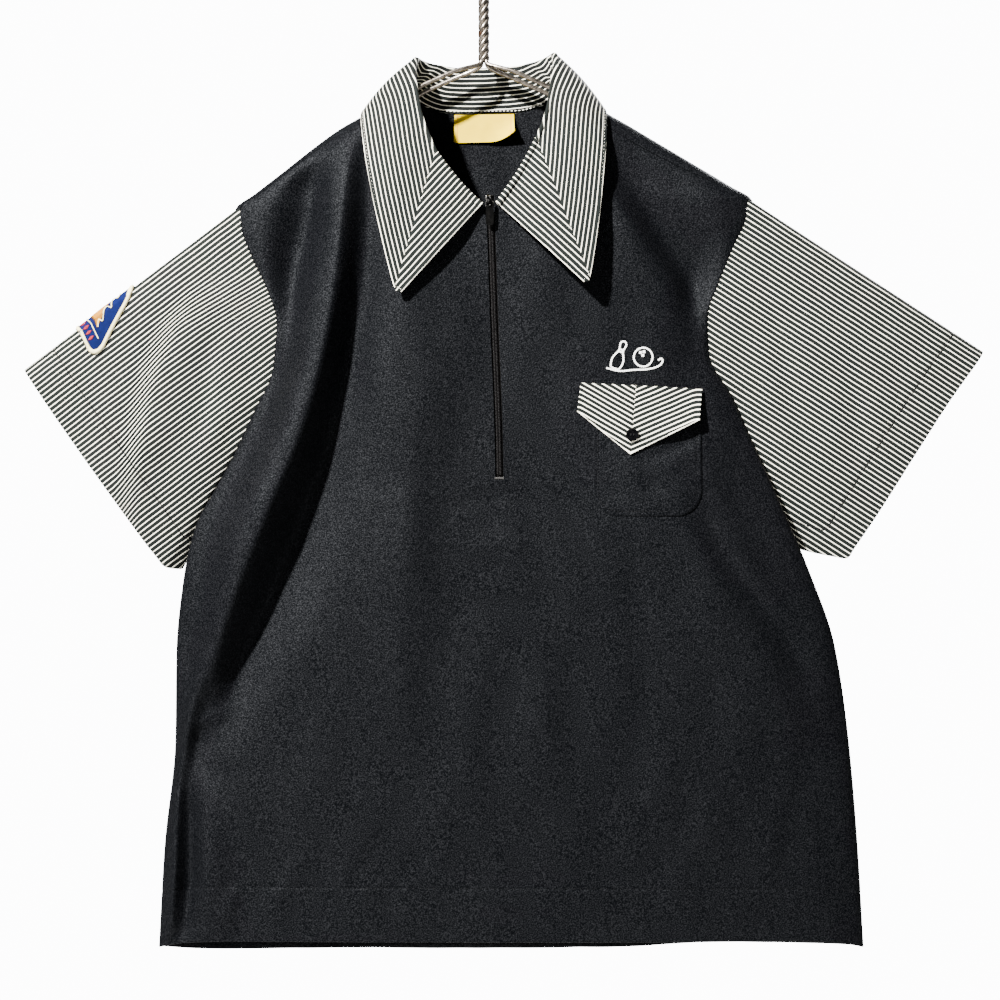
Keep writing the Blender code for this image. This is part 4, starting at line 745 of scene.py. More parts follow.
def weave_stripes(name, dark_share):
    """Striped double knit: dark and ivory rows by turns across the UV's second axis, a pitch apart, their
    edges roughened by the loops. The pale rows stand up a little.
    """
    dark, pale = (0.0018, 0.0025, 0.0022), (0.78, 0.75, 0.63)
    material, tree, shader, place, flat = start_material(name, 0.78, 0, 0.05, 0.01, 0.5)
    split = tree.nodes.new("ShaderNodeSeparateXYZ")
    put(split.inputs[0], flat)
    wander = rise(tree, grain(tree, place, 0.0009, 2), 0.2, 0.8, -0.00014, 0.00014)
    drift = rise(tree, grain(tree, place, 0.03, 1), 0.3, 0.7, -0.00018, 0.00018)
    shifted = calculate(tree, "ADD", calculate(tree, "ADD", split.outputs["Y"], wander), drift)
    turn = calculate(tree, "FRACT", calculate(tree, "MULTIPLY", shifted, 1 / STRIPE_PITCH))
    wave = calculate(tree, "ABSOLUTE", calculate(tree, "MULTIPLY_ADD", turn, 2.0, -1.0))
    stripe = rise(tree, wave, dark_share - 0.08, dark_share + 0.08)
    yarn = grain(tree, place, 0.0008, 3)
    light = mix(tree, rise(tree, yarn, 0.3, 0.75), tuple(0.80 * c for c in pale), pale)
    deep = mix(tree, rise(tree, yarn, 0.45, 0.8), dark, tuple(2.4 * c for c in dark))
    put(shader.inputs["Base Color"], mix(tree, stripe, deep, light))
    height = calculate(tree, "MULTIPLY_ADD", stripe, 0.5, yarn)
    height = calculate(tree, "MULTIPLY_ADD", knit_loops(tree, flat), 0.08, height)
    relief(tree, shader, height, 0.00025)
    return material


# The sleeves' and collar's knit has narrow pale rows, which darken it as painted shade.
SHADED_STRIPED_KNIT = weave_stripes("striped double knit", dark_share=0.83)
# The flap's knit is the lit copy: its pale rows are wider than those of the sleeves and collar, whose
# narrower pale rows are painted shade.
LIT_FLAP_KNIT = weave_stripes("striped double knit of the flap", dark_share=0.75)


def flap_stripes(x, drop, half, above):
    """UVs whose second axis counts the stripes up from the mitre's lower end. The last 0.8 mm above the
    lower edge is the turned edge of one ivory stripe.
    """
    slope, level, closer, meeting = FLAP_STRIPES[half]
    walked = np.abs(x - FLAP["bottom"][2 * half][0])
    fallen = np.where(walked < level, walked**2 / (2 * level), walked - level / 2)
    whole = abs(FLAP["bottom"][1][0] - FLAP["bottom"][2 * half][0]) - level / 2
    count = (meeting + (fallen - whole) * slope - drop) * closer / STRIPE_PITCH
    return np.stack([x, np.where(above < 0.0008, np.round(count), count) * STRIPE_PITCH], axis=-1)


for half, name in enumerate(("pocket_flap_left", "pocket_flap_right")):
    top, bottom = (np.array(FLAP[edge][half : half + 2]) for edge in ("top", "bottom"))
    across = (near_edge(0.05, 40) / 0.05)[None, :, None]
    down = (near_edge(0.04, 30) / 0.04)[:, None, None]
    corner = (top[0] * (1 - across) + top[1] * across) * (1 - down)
    corner = corner + (bottom[0] * (1 - across) + bottom[1] * across) * down
    x, drop = corner[..., 0] + (SEAM if half else -SEAM), corner[..., 1]
    sides = [corner[:, 0] if half == 0 else corner[:, -1], corner[-1], corner[0]]
    inward = np.min([away_from(corner, side) for side in sides], axis=0)
    mitre = np.abs(corner - (corner[:, -1:] if half == 0 else corner[:, :1]))[..., 0]
    # The flap bellies out a little below its seam, its right side stands off, its edge is round, and the
    # mitre's seam sinks in.
    fallen = np.clip(down[..., 0], 0, 1)
    belly = 0.0010 * np.sin(math.pi * fallen) * np.sin(math.pi * across[..., 0] * 0.5 + half)
    belly = belly + 0.0075 * soft_step((x - 0.138) / 0.045) * down[..., 0] ** 1.5
    ditch = 0.0004 * np.exp(-((mitre / 0.0009) ** 2)) + 0.0003 * np.exp(-(((inward - 0.0028) / 0.0010) ** 2))
    grid = on_front(x, drop, FLAP_OUT + belly - ditch)
    uv = flap_stripes(x, drop, half, away_from(corner, corner[-1]))
    flap = sew_cloth(f"{name}_cloth", grid, uv, FLAP_WALL, LIT_FLAP_KNIT, draw_in=rounded(inward, FLAP_WALL))
    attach(flap, "shirt")
    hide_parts(name)

# ---------------------------------------------------------------- button
# A glossy black four-hole button of cast polyester, sewn through the flap's point with two bars of thread.

BUTTON = (0.1285, 0.4460)


def cast_gloss(name, dark, pale, size, roughness):
    """Polished plastic or enamel: a dark ground, faint paler swirls, and fine scuffs in its gloss."""
    material, tree, shader, place, _ = start_material(name, roughness, 0, 0.06)
    shader.inputs["Coat Weight"].default_value = 0.03
    shader.inputs["Coat Roughness"].default_value = 0.12
    swirl = rise(tree, grain(tree, place, size, 4), 0.45, 0.75)
    put(shader.inputs["Base Color"], mix(tree, swirl, dark, pale))
    scuffs = grain(tree, place, size / 6, 3)
    put(shader.inputs["Roughness"], rise(tree, scuffs, 0.4, 0.8, roughness, roughness + 0.2))
    relief(tree, shader, scuffs, 0.00006)
    return material


def spin_thread(name, colour, roughness=0.6, sheen=0.15):
    """Sewing thread: its colour with darker turns of the twist, and a slight sheen."""
    material, tree, shader, place, _ = start_material(name, roughness, 0, 0.1, sheen, 0.4)
    twist = grain(tree, place, 0.0004, 2)
    put(shader.inputs["Base Color"], mix(tree, twist, tuple(0.6 * c for c in colour), colour))
    relief(tree, shader, twist, 0.00012)
    return material


def lay_threads(name, starts, ends, out, radius, material, loft=0.0, sides=6):
    """Stitches as spindles from starts to ends, each with its own direction outwards, lofted in its middle:
    a point at each end and three rings between, radius times 0.8, 1 and 0.8.
    """
    starts, ends, out = (np.asarray(a, float) for a in (starts, ends, out))
    step = ends - starts
    ahead = step / np.linalg.norm(step, axis=-1, keepdims=True)
    side = np.cross(out, ahead)
    side = side / np.linalg.norm(side, axis=-1, keepdims=True)
    up = np.cross(ahead, side)
    points = [starts]
    for share, size in ((0.16, 0.8), (0.5, 1.0), (0.84, 0.8)):
        middle = starts + step * share + up * loft * 4 * share * (1 - share)
        for turn in np.arange(sides) * 2 * math.pi / sides:
            points.append(middle + radius * size * (math.cos(turn) * side + math.sin(turn) * up))
    points.append(ends)
    each = len(points)
    points = np.stack(points, axis=1).reshape(-1, 3)
    faces = []
    for j in range(sides):
        k = (j + 1) % sides
        faces.append((0, 1 + k, 1 + j))
        faces.append((each - 1, 1 + 2 * sides + j, 1 + 2 * sides + k))
        for ring in (1, 1 + sides):
            faces.append((ring + j, ring + k, ring + k + sides))
            faces.append((ring + j, ring + k + sides, ring + j + sides))
    faces = (np.array(faces)[None] + each * np.arange(len(starts))[:, None, None]).reshape(-1, 3)
    piece = make_mesh(name, points, faces, None, material, smooth_to=80)
    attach(piece, "shirt")
    return piece


def running(line, out, pitch, length):
    """Starts, ends and outward directions of stitches that run along a line, pitch apart."""
    measured = lengths(line)
    starts = np.arange(pitch / 2, measured[-1] - length, pitch)
    along_out = np.stack([np.interp(starts + length / 2, measured, axis) for axis in out.T], axis=-1)
    along_out = along_out / np.linalg.norm(along_out, axis=1, keepdims=True)
    return resample(line, starts), resample(line, starts + length), along_out


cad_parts["button"].material_slots[0].material = cast_gloss(
    "black cast button", (0.0005, 0.0005, 0.0006), (0.0018, 0.0018, 0.0020), 0.004, 0.14
)
BLACK_THREAD = spin_thread("black sewing thread", (0.0022, 0.0022, 0.0026), 0.7, 0.004)
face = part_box("button")[0][1]
holes = np.array([(-0.0012, -0.0012), (-0.0012, 0.0012), (0.0012, -0.0012), (0.0012, 0.0012)])
holes = np.stack([BUTTON[0] + holes[:, 0], np.full(4, face + 0.0005), -BUTTON[1] + holes[:, 1]], axis=-1)
apart = [(-2e-4, 0, 0), (2e-4, 0, 0)] * 2
lay_threads("button_thread", holes[[0, 0, 2, 2]] + apart, holes[[1, 1, 3, 3]] + apart,
            np.broadcast_to((0.0, -1.0, 0.0), (4, 3)), 0.00026, BLACK_THREAD, loft=0.0002)

# ---------------------------------------------------------------- chest embroidery
# A white chain-stitched motif above the pocket: a tilted bowling pin with its neck bands, a ball beside it,
# and a line under both. The chain is one thread's loops, each caught by the next.

WHITE_THREAD = spin_thread("white embroidery thread", (0.83, 0.83, 0.81), 0.55, 0.2)
CHAIN_PITCH, CHAIN_HALF_WIDTH, CHAIN_RADIUS = 0.00155, 0.00050, 0.00042


def bend_through(points, samples=14):
    """A smooth open line through the points (Catmull-Rom, with its ends doubled)."""
    points = np.asarray(points, float)
    points = np.vstack([2 * points[:1] - points[1:2], points, 2 * points[-1:] - points[-2:-1]])
    t = np.linspace(0, 1, samples, endpoint=False)[None, :, None]
    p0, p1, p2, p3 = (p[:, None, :] for p in (points[:-3], points[1:-2], points[2:-1], points[3:]))
    line = 0.5 * (
        2 * p1 + (p2 - p0) * t + (2 * p0 - 5 * p1 + 4 * p2 - p3) * t**2 + (3 * p1 - p0 - 3 * p2 + p3) * t**3
    )
    return np.vstack([line.reshape(-1, points.shape[1]), points[-2:-1]])


def pin_outline(centre, height, lean):
    """A bowling pin's outline: half its width at shares of its height, up one side and down the other."""
    shape = np.array([(0.00, 0.13), (0.10, 0.18), (0.28, 0.205), (0.45, 0.16), (0.60, 0.085), (0.72, 0.075),
                      (0.84, 0.105), (0.94, 0.095), (1.00, 0.0)])
    side = np.stack([shape[:, 1], 0.5 - shape[:, 0]], axis=-1)
    other = side[-2::-1] * np.array([-1, 1])
    loop = np.vstack([side, other, side[:1]]) * height
    turn = math.radians(lean)
    spin = np.array([(math.cos(turn), math.sin(turn)), (-math.sin(turn), math.cos(turn))])
    return loop @ spin + np.array(centre), spin, np.array(centre)


def circle(centre, radius, turns=1.0, start=0.0):
    angle = np.linspace(0, 2 * math.pi * turns, 40) + start
    return np.stack([centre[0] + radius * np.cos(angle), centre[1] + radius * np.sin(angle)], axis=-1)


pin, spin, middle = pin_outline((0.1180, 0.3765), 0.0250, 20.0)
bands = [np.array([(-0.0023, level), (0.0, level + 0.0004), (0.0023, level)]) @ spin + middle
         for level in (-0.0030, -0.0050)]
ball = circle((0.1385, 0.3785), 0.0082, 1.0, 2.0)
finger_holes = [circle(place, 0.0009) for place in ((0.1362, 0.3745), (0.1392, 0.3738), (0.1382, 0.3770))]
swash = np.array([(0.1065, 0.3880), (0.1180, 0.3906), (0.1300, 0.3896), (0.1420, 0.3890), (0.1520, 0.3862),
                  (0.1556, 0.3818), (0.1540, 0.3795), (0.1516, 0.3812)])
starts, ends = [], []
for line in (bend_through(pin), *(bend_through(band) for band in bands), ball, *finger_holes,
             bend_through(swash)):
    measured = lengths(line)
    links = max(3, round(measured[-1] / CHAIN_PITCH))
    knots = resample(line, np.linspace(0, measured[-1], links + 1))
    ahead = np.diff(knots, axis=0)
    beside = np.stack([-ahead[:, 1], ahead[:, 0]], axis=-1)
    beside = beside / np.linalg.norm(beside, axis=1, keepdims=True) * CHAIN_HALF_WIDTH
    for sign in (-1, 1):
        starts.append(knots[:-1] + sign * beside * 0.25 - ahead * 0.12)
        ends.append(knots[1:] + sign * beside * 1.15 + ahead * 0.10)
starts, ends = np.vstack(starts), np.vstack(ends)
lay_threads(
    "chest_chain_stitch", on_front(*starts.T, 0.0002), on_front(*ends.T, 0.0003),
    np.broadcast_to((0.0, -1.0, 0.0), (len(starts), 3)), CHAIN_RADIUS, WHITE_THREAD, loft=0.0004,
)

# ---------------------------------------------------------------- zip
# A closed nylon coil zip in the slit, its woven tape behind the front, with a cast slider at the top, dark
# partly with tarnish and partly as painted shade of the collar, whose black enamelled pull, painted darker
# still as that shade, hangs from a bridge. A bar tack closes its lower end.

CHAIN_WIDTH, TAPE_WIDTH, TAPE_WALL = 0.0058, 0.0260, 0.0007
COIL_PITCH, COIL_RADIUS = 0.0012, 0.00042
SLIDER_BOTTOM = 0.2493


def weave_tape():
    """Zip tape: a dark twill whose ribs run along it."""
    material, tree, shader, place, flat = start_material("black zip tape", 0.8, 0, 0.03, 0.004, 0.5)
    split = tree.nodes.new("ShaderNodeSeparateXYZ")
    put(split.inputs[0], flat)
    slant = calculate(tree, "MULTIPLY_ADD", split.outputs["Y"], 0.6, split.outputs["X"])
    ribs = calculate(tree, "SINE", calculate(tree, "MULTIPLY", slant, 2 * math.pi / 0.0007))
    yarn = grain(tree, place, 0.0005, 3)
    put(shader.inputs["Base Color"], mix(tree, yarn, (0.0007, 0.0006, 0.0006), (0.0030, 0.0026, 0.0025)))
    relief(tree, shader, calculate(tree, "MULTIPLY_ADD", ribs, 0.4, yarn), 0.00025)
    return material


def mould_coil():
    """Brownish black monofilament, satin, with worn paler tops."""
    material, tree, shader, place, _ = start_material("zip coil nylon", 0.55, 0, 0.04)
    wear = rise(tree, grain(tree, place, 0.0014, 3), 0.45, 0.75)
    put(shader.inputs["Base Color"], mix(tree, wear, (0.0010, 0.0009, 0.0010), (0.0042, 0.0037, 0.0038)))
    put(shader.inputs["Roughness"], rise(tree, wear, 0.0, 1.0, 0.36, 0.55))
    relief(tree, shader, grain(tree, place, 0.0005, 2), 0.00008)
    return material


drop = np.arange(SLIDER_BOTTOM + 0.0010, ZIP_END - 0.0026, COIL_PITCH)
centre = along(ZIP_LINE, "x", drop)
starts, ends = [], []
for sign in (-1, 1):
    shift = 0.0 if sign < 0 else COIL_PITCH / 2
    outer = centre + sign * CHAIN_WIDTH * 0.46
    inner = centre - sign * CHAIN_WIDTH * 0.06
    starts.append(on_front(outer, drop + shift - 0.0003, -0.0010))
    ends.append(on_front(inner, drop + shift + 0.0003, -0.0008))
coil = lay_threads(
    "zip_coil", np.vstack(starts), np.vstack(ends), np.broadcast_to((0.0, -1.0, 0.0), (2 * len(drop), 3)),
    COIL_RADIUS, mould_coil(), loft=0.00035,
)
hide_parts("zip_chain")

drop = np.linspace(SLIDER_BOTTOM + 0.0030, ZIP_END + 0.0060, 160)
share = np.linspace(-0.5, 0.5, 21)
x = along(ZIP_LINE, "x", drop)[:, None] + TAPE_WIDTH * share
down = np.broadcast_to(drop[:, None], x.shape)
cord = 0.0004 * np.exp(-(((np.abs(share) - 0.14) / 0.05) ** 2))
grid = on_front(x, down, -0.0022 + np.broadcast_to(cord, x.shape))
tape = sew_cloth("zip_tape_cloth", grid, np.stack([x, down], axis=-1), TAPE_WALL, weave_tape())
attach(tape, "shirt")
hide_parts("zip_tape")

# The bar tack: thirteen short stitches side by side across the end of the slit.
at = np.linspace(-0.0036, 0.0036, 13) + along(ZIP_LINE, "x", ZIP_END)
tack_out = np.broadcast_to((0.0, -1.0, 0.0), (len(at), 3))
lay_threads("zip_bar_tack", on_front(at, np.full(13, ZIP_END - 0.0004), 0.0001),
            on_front(at, np.full(13, ZIP_END + 0.0016), 0.0001), tack_out, 0.00030,
            spin_thread("grey tacking thread", (0.022, 0.021, 0.020)), loft=0.0003)


def plate_slider():
    """Nickel-plated zinc, mostly dark, partly with tarnish and partly as painted shade of the collar over it,
    with bright worn spots and fine scratches.
    """
    material, tree, shader, place, _ = start_material("plated slider", 0.22, 1.0, 0.5)
    # Dark where this mask says: partly tarnish, partly painted shade of the collar over the slider.
    tarnish_and_shade = rise(tree, grain(tree, place, 0.0014, 3), 0.38, 0.46)
    put(shader.inputs["Base Color"], mix(tree, tarnish_and_shade, (0.16, 0.155, 0.15), (0.0025, 0.0025, 0.0024)))
    scratches = grain(tree, place, 0.0008, 3, (1.0, 1.0, 0.15))
    put(shader.inputs["Roughness"], rise(tree, scratches, 0.3, 0.8, 0.16, 0.42))
    relief(tree, shader, scratches, 0.00005)
    return material


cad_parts["zip_slider"].material_slots[0].material = plate_slider()
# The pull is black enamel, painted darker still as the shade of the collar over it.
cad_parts["zip_pull_tab"].material_slots[0].material = cast_gloss(
    "black enamelled pull", (0.0004, 0.0004, 0.0004), (0.0016, 0.0015, 0.0014), 0.003, 0.20
)

# ---------------------------------------------------------------- back
# The back panel, of the same knit: it wraps over the shoulders to a seam on the front, and its neckline is
# higher. Its hem is turned up and blind-stitched as the front's is.

BACK_END = table(
    "drop left right",
    (0.2432, 14, 14),
    (0.2440, 7, 7),
    (0.2452, 0, 0),
    (0.2470, -8, -8),
    (0.2505, -15, -15),
    (0.2560, -21, -21),
    (0.2850, -26, -26),
    (0.3450, -27, -27),
    (0.3800, -26, -26),
    (0.4200, -23, -23),
    (0.4550, -20, -20),
    (0.4710, -18, -18),
)
BACK_NECK = table(
    "drop half",
    (0.1365, 0.0655),
    (0.1420, 0.0640),
    (0.1480, 0.0585),
    (0.1530, 0.0500),
    (0.1565, 0.0390),
    (0.1578, 0.0300),
)
BACK_NECK_ROW = 0.1578
HALF_BACK, BACK_NECK_COLUMNS = 60, 24


def back_end(side, drop):
    inside_armhole = SHOULDER_TIP + 0.0005 < drop < PIT_DROP + 0.0001
    angle = along(BACK_END if inside_armhole else FRONT_END, side, drop)
    return angle if side == LEFT else -180 - angle


rows = np.concatenate([
    [0.1380, 0.1405, 0.1430, 0.1460],
    np.linspace(0.1490, 0.1560, 4),
    np.linspace(BACK_NECK_ROW, SHOULDER_TIP, 26),
    [0.2440, 0.2446, 0.2452, 0.2461, 0.2470, 0.2487, 0.2505, 0.2530],
    np.linspace(0.2560, PIT_DROP, 56),
    np.linspace(0.4770, STITCH_ROWS[0], 80)[:-1],
    STITCH_ROWS,
    np.linspace(STITCH_ROWS[-1], HEM_ROWS[0], 11)[1:-1],
    HEM_ROWS,
])
angles = []
for drop in rows:
    half = along(BACK_NECK, "half", drop)
    left, right = (angle_at(x, drop, in_front=False) for x in (-half, half))
    seam = SHOULDER_SEAM if drop < SHOULDER_TIP + 0.0001 else SEAM
    left_part = across_body(back_end(LEFT, drop), left, drop, HALF_BACK, seam)
    centre = across_body(left, right, drop, BACK_NECK_COLUMNS)[1:-1]
    right_part = across_body(right, back_end(RIGHT, drop), drop, HALF_BACK, 0.0, seam)
    angles.append(np.concatenate([left_part, centre, right_part]))
keep = np.ones((len(rows) - 1, 2 * HALF_BACK + BACK_NECK_COLUMNS), bool)
keep[rows[:-1] < BACK_NECK_ROW - 0.0001, HALF_BACK : HALF_BACK + BACK_NECK_COLUMNS] = False
angles = np.array(angles)
grid = body(angles, hang(angles, rows[:, None]))
back_hem = grid[list(rows).index(STITCH_ROWS[3])]
back = sew_cloth("back_cloth", grid, flatten(grid), hem_wall(rows)[:, None], BLACK_KNIT, keep, flip=True,
                 draw_in=hem_draw_in(rows)[:, None])
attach(back, "shirt")
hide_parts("back")

# ---------------------------------------------------------------- neck label
# A woven cream-yellow label, left bare, caught in the neck seam inside the back. Its lower right corner curls
# forward, off the cloth.

LABEL_HALF_WIDTH, LABEL_TOP, LABEL_BOTTOM = 0.0265, 0.1588, 0.1835
LABEL_WALL, LABEL_OFF = 0.0006, 0.0010


def weave_label():
    """Satin-woven label: cream yellow, finely ribbed across, with a deeper woven line inside its edge."""
    material, tree, shader, place, flat = start_material("yellow woven label", 0.60, 0, 0.03)
    split = tree.nodes.new("ShaderNodeSeparateXYZ")
    put(split.inputs[0], flat)
    ribs = calculate(tree, "SINE", calculate(tree, "MULTIPLY", split.outputs["Y"], 2 * math.pi / 0.0005))
    cloud = rise(tree, grain(tree, place, 0.012, 3), 0.3, 0.7)
    ground = mix(tree, cloud, (0.38, 0.262, 0.0008), (0.43, 0.30, 0.001))
    reach = calculate(tree, "ABSOLUTE", split.outputs["X"])
    beside = calculate(tree, "ABSOLUTE", calculate(tree, "SUBTRACT", reach, LABEL_HALF_WIDTH - 0.0026))
    line = rise(tree, beside, 0.00025, 0.0006, 1.0, 0.0)
    put(shader.inputs["Base Color"], mix(tree, line, ground, (0.36, 0.17, 0.001)))
    relief(tree, shader, calculate(tree, "MULTIPLY_ADD", ribs, 0.3, grain(tree, place, 0.0005, 2)), 0.00012)
    return material


across = np.linspace(-1, 1, 61)[None, :]
down = np.linspace(0, 1, 33)[:, None]
x = LABEL_HALF_WIDTH * across * (1 + 0.02 * down)
drop = LABEL_TOP + (LABEL_BOTTOM - LABEL_TOP) * down * (1 - 0.5 * np.clip(across - 0.2, 0, 1) ** 2)
# Its lower corners are cut round.
corner = np.hypot(np.clip(np.abs(across) - 0.90, 0, 1) / 0.10, np.clip(down - 0.80, 0, 1) / 0.20)
drop = drop - 0.0022 * np.clip(corner - 1.0, 0, 1)
grid = body(angle_at(x, drop, in_front=False), drop)
curl = 0.010 * down**2 * np.clip(across, 0, 1) ** 2 + 0.001 * down + 0.0005 * np.sin(3 * across + 1.0) * down
grid[..., 1] -= THIN_WALL + LABEL_OFF + LABEL_WALL + curl
uv = np.stack(np.broadcast_arrays(x, down * 0.025), axis=-1)
label = sew_cloth("neck_label_cloth", grid, uv, LABEL_WALL, weave_label())
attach(label, "shirt")
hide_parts("neck_label")

# ---------------------------------------------------------------- sleeves
# Two short sleeves of the striped knit, set into the armholes, with a fold along the top that the stripes
# run beside. Each cuff is turned up inside by 32 mm and stitched.

CUFFS = {
    LEFT: table(
        "x y drop",
        (-0.405, 0.004, 0.388),
        (-0.398, -0.005, 0.398),
        (-0.372, -0.008, 0.436),
        (-0.337, -0.011, 0.485),
        (-0.301, -0.009, 0.535),
        (-0.2870, -0.0064, 0.5535),
        (-0.2825, -0.0050, 0.5595),
        (-0.2775, -0.0020, 0.5625),
        (-0.266, 0.009, 0.563),
        (-0.284, 0.021, 0.552),
        (-0.321, 0.024, 0.502),
        (-0.360, 0.020, 0.448),
        (-0.393, 0.012, 0.402),
    ),
    RIGHT: table(
        "x y drop",
        (0.440, 0.005, 0.372),
        (0.434, -0.005, 0.381),
        (0.408, -0.008, 0.417),
        (0.378, -0.011, 0.463),
        (0.346, -0.009, 0.514),
        (0.3255, -0.0052, 0.5450),
        (0.3205, -0.0038, 0.5530),
        (0.3120, -0.0002, 0.5535),
        (0.2775, 0.013, 0.545),
        (0.318, 0.023, 0.540),
        (0.355, 0.024, 0.487),
        (0.395, 0.020, 0.430),
        (0.429, 0.012, 0.386),
    ),
}
CUFF_LOWER_FOLD = 8
# A ridge runs down the left sleeve's front along this line, and the knit to its right is dragged up by it.
DRAGGED = {LEFT: 0.0080, RIGHT: 0.0}
RIDGE = table(
    "drop x", (0.2988, -0.2400), (0.3600, -0.2810), (0.4100, -0.2990), (0.4850, -0.3110), (0.5400, -0.3150)
)
SLEEVE_AXIS = {LEFT: np.array([-0.80, 0.0, -0.60]), RIGHT: np.array([0.84, 0.0, -0.54])}
ARMHOLE_GAP = 0.0006
PIT = (-12, 0.4790)
SLEEVE_SWELL = 0.004
CUFF_HEM = 0.0320
FOLD_TURN = 0.004
SLEEVE_CREASES = {
    LEFT: [
        [(-228, 296, 0, 10, 18), (-266, 350, 3.6, 10, 20), (-286, 403, 5.2, 10, 22), (-298, 455, 4.6, 11, 22),
         (-305, 505, 2.0, 12, 18), (-310, 540, 0, 10, 10)],
        [(-232, 330, 0, 10, 10), (-240, 372, -3.2, 12, 8), (-246, 424, -2.2, 12, 9), (-250, 470, 0, 10, 10)],
        [(-212, 400, 0, 10, 10), (-236, 448, 2.4, 12, 9), (-262, 500, 2.0, 13, 10), (-280, 540, 0, 10, 10)],
        [(-350, 366, 0, 9, 9), (-362, 400, 1.6, 10, 8), (-356, 440, 0, 9, 9)],
        [(-206, 300, 0, 9, 9), (-222, 320, 2.0, 10, 8), (-250, 336, 0, 9, 9)],
    ],
    RIGHT: [
        [(300, 330, 0, 12, 12), (318, 384, -2.2, 14, 10), (330, 440, -2.2, 14, 10), (336, 490, 0, 12, 12)],
        [(244, 300, 0, 10, 10), (256, 356, -2.6, 12, 8), (270, 416, -2.2, 12, 9), (284, 476, 0, 10, 10)],
        [(236, 410, 0, 10, 10), (262, 454, 2.2, 12, 9), (292, 500, 1.8, 13, 10), (316, 530, 0, 10, 10)],
        [(384, 356, 0, 9, 9), (396, 390, 1.6, 10, 8), (388, 430, 0, 9, 9)],
    ],
}


def ring_through(points, samples=24):
    """A smooth closed line through the points (Catmull-Rom), with its first point repeated at the end."""
    before, after, beyond = (np.roll(points, shift, axis=0) for shift in (1, -1, -2))
    t = np.linspace(0, 1, samples, endpoint=False)[None, :, None]
    p0, p1, p2, p3 = (p[:, None, :] for p in (before, points, after, beyond))
    line = 0.5 * (
        2 * p1 + (p2 - p0) * t + (2 * p0 - 5 * p1 + 4 * p2 - p3) * t**2 + (3 * p1 - p0 - 3 * p2 + p3) * t**3
    )
    return np.vstack([line.reshape(-1, 3), points[:1]])


def armhole(side, columns):
    """The sleeve's first ring, from the shoulder's ridge down the front and back up behind, as evenly
    spaced points of each half: body(angle, drop) along the two edges of the armhole.
    """
    drops = np.linspace(0.2560, PIT_DROP, 80)
    first, behind = np.array([SHOULDER_TIP, *drops]), np.array([0.2452, 0.2470, 0.2505, *drops])
    ridge = [(0.0, 0.2446), (4.0, 0.2442), (7.0, 0.2440)]
    front_part = np.stack([along(FRONT_END, side, first), first], axis=-1)
    back_part = np.stack([along(BACK_END, side, behind), behind], axis=-1)
    angles, drops = np.vstack([ridge, front_part, [PIT], back_part[::-1], ridge[:1]]).T
    ring = body(angles if side == LEFT else 180 - angles, drops) + SLEEVE_AXIS[side] * ARMHOLE_GAP
    pit = lengths(ring)[len(ridge) + len(front_part)]
    total = lengths(ring)[-1]
    half = columns // 2
    return resample(ring, np.concatenate([
        np.linspace(0, pit, half, endpoint=False), np.linspace(pit, total, columns - half, endpoint=False)
    ]))


def sleeve_surface(side, shares, columns=120):
    """Rings of the sleeve at shares of its length, 0 at the armhole and 1 at the cuff.

    A point of the armhole runs straight to the point of the cuff that is the same share of the way round
    its half. It swells by sine times sine, and the creases push its front and back.
    """
    start = armhole(side, columns)
    cuff = np.stack([CUFFS[side]["x"], CUFFS[side]["y"], -CUFFS[side]["drop"]], axis=-1)
    line = ring_through(cuff)
    measured = lengths(line)
    fold = measured[CUFF_LOWER_FOLD * (len(line) - 1) // len(cuff)]
    half = columns // 2
    down = np.linspace(0, fold, half, endpoint=False)
    up = np.linspace(fold, measured[-1], columns - half, endpoint=False)
    end = resample(line, np.concatenate([down, up]))
    around = np.concatenate([
        np.linspace(0, 1, half, endpoint=False), np.linspace(1, 2, columns - half, endpoint=False),
    ]) * math.pi
    shares = np.asarray(shares)[:, None]
    rings = start[None] * (1 - shares[..., None]) + end[None] * shares[..., None]
    rings[..., 1] -= SLEEVE_SWELL * np.sin(around)[None, :] * np.sin(math.pi * shares)
    x, drop = rings[..., 0], -rings[..., 2]
    small = creased(SLEEVE_CREASES[side], x, drop) + uneven(x, drop, 21 if side == LEFT else 22)
    ends = soft_step(shares / 0.12) * (0.45 + 0.55 * soft_step((1 - shares) / 0.15))
    rings[..., 1] -= small * np.sin(around)[None, :] ** 3 * ends
    return rings


SLEEVE_COLUMNS = 240
SLEEVE_SHARES = np.unique(np.concatenate([
    np.linspace(0, 0.70, 44), np.linspace(0.70, 0.88, 42), np.linspace(0.88, 0.98, 12),
    1 - np.geomspace(0.02, 0.0008, 9), [1.0],
]))


def pick(grid, row, column):
    """Points of a grid at places between its rows and columns, each a straight mean of the four around."""
    top = np.clip(np.floor(row).astype(int), 0, len(grid) - 2)
    left = np.clip(np.floor(column).astype(int), 0, grid.shape[1] - 2)
    down, across = (row - top)[..., None], (column - left)[..., None]
    upper = grid[top, left] * (1 - across) + grid[top, left + 1] * across
    lower = grid[top + 1, left] * (1 - across) + grid[top + 1, left + 1] * across
    return upper * (1 - down) + lower * down


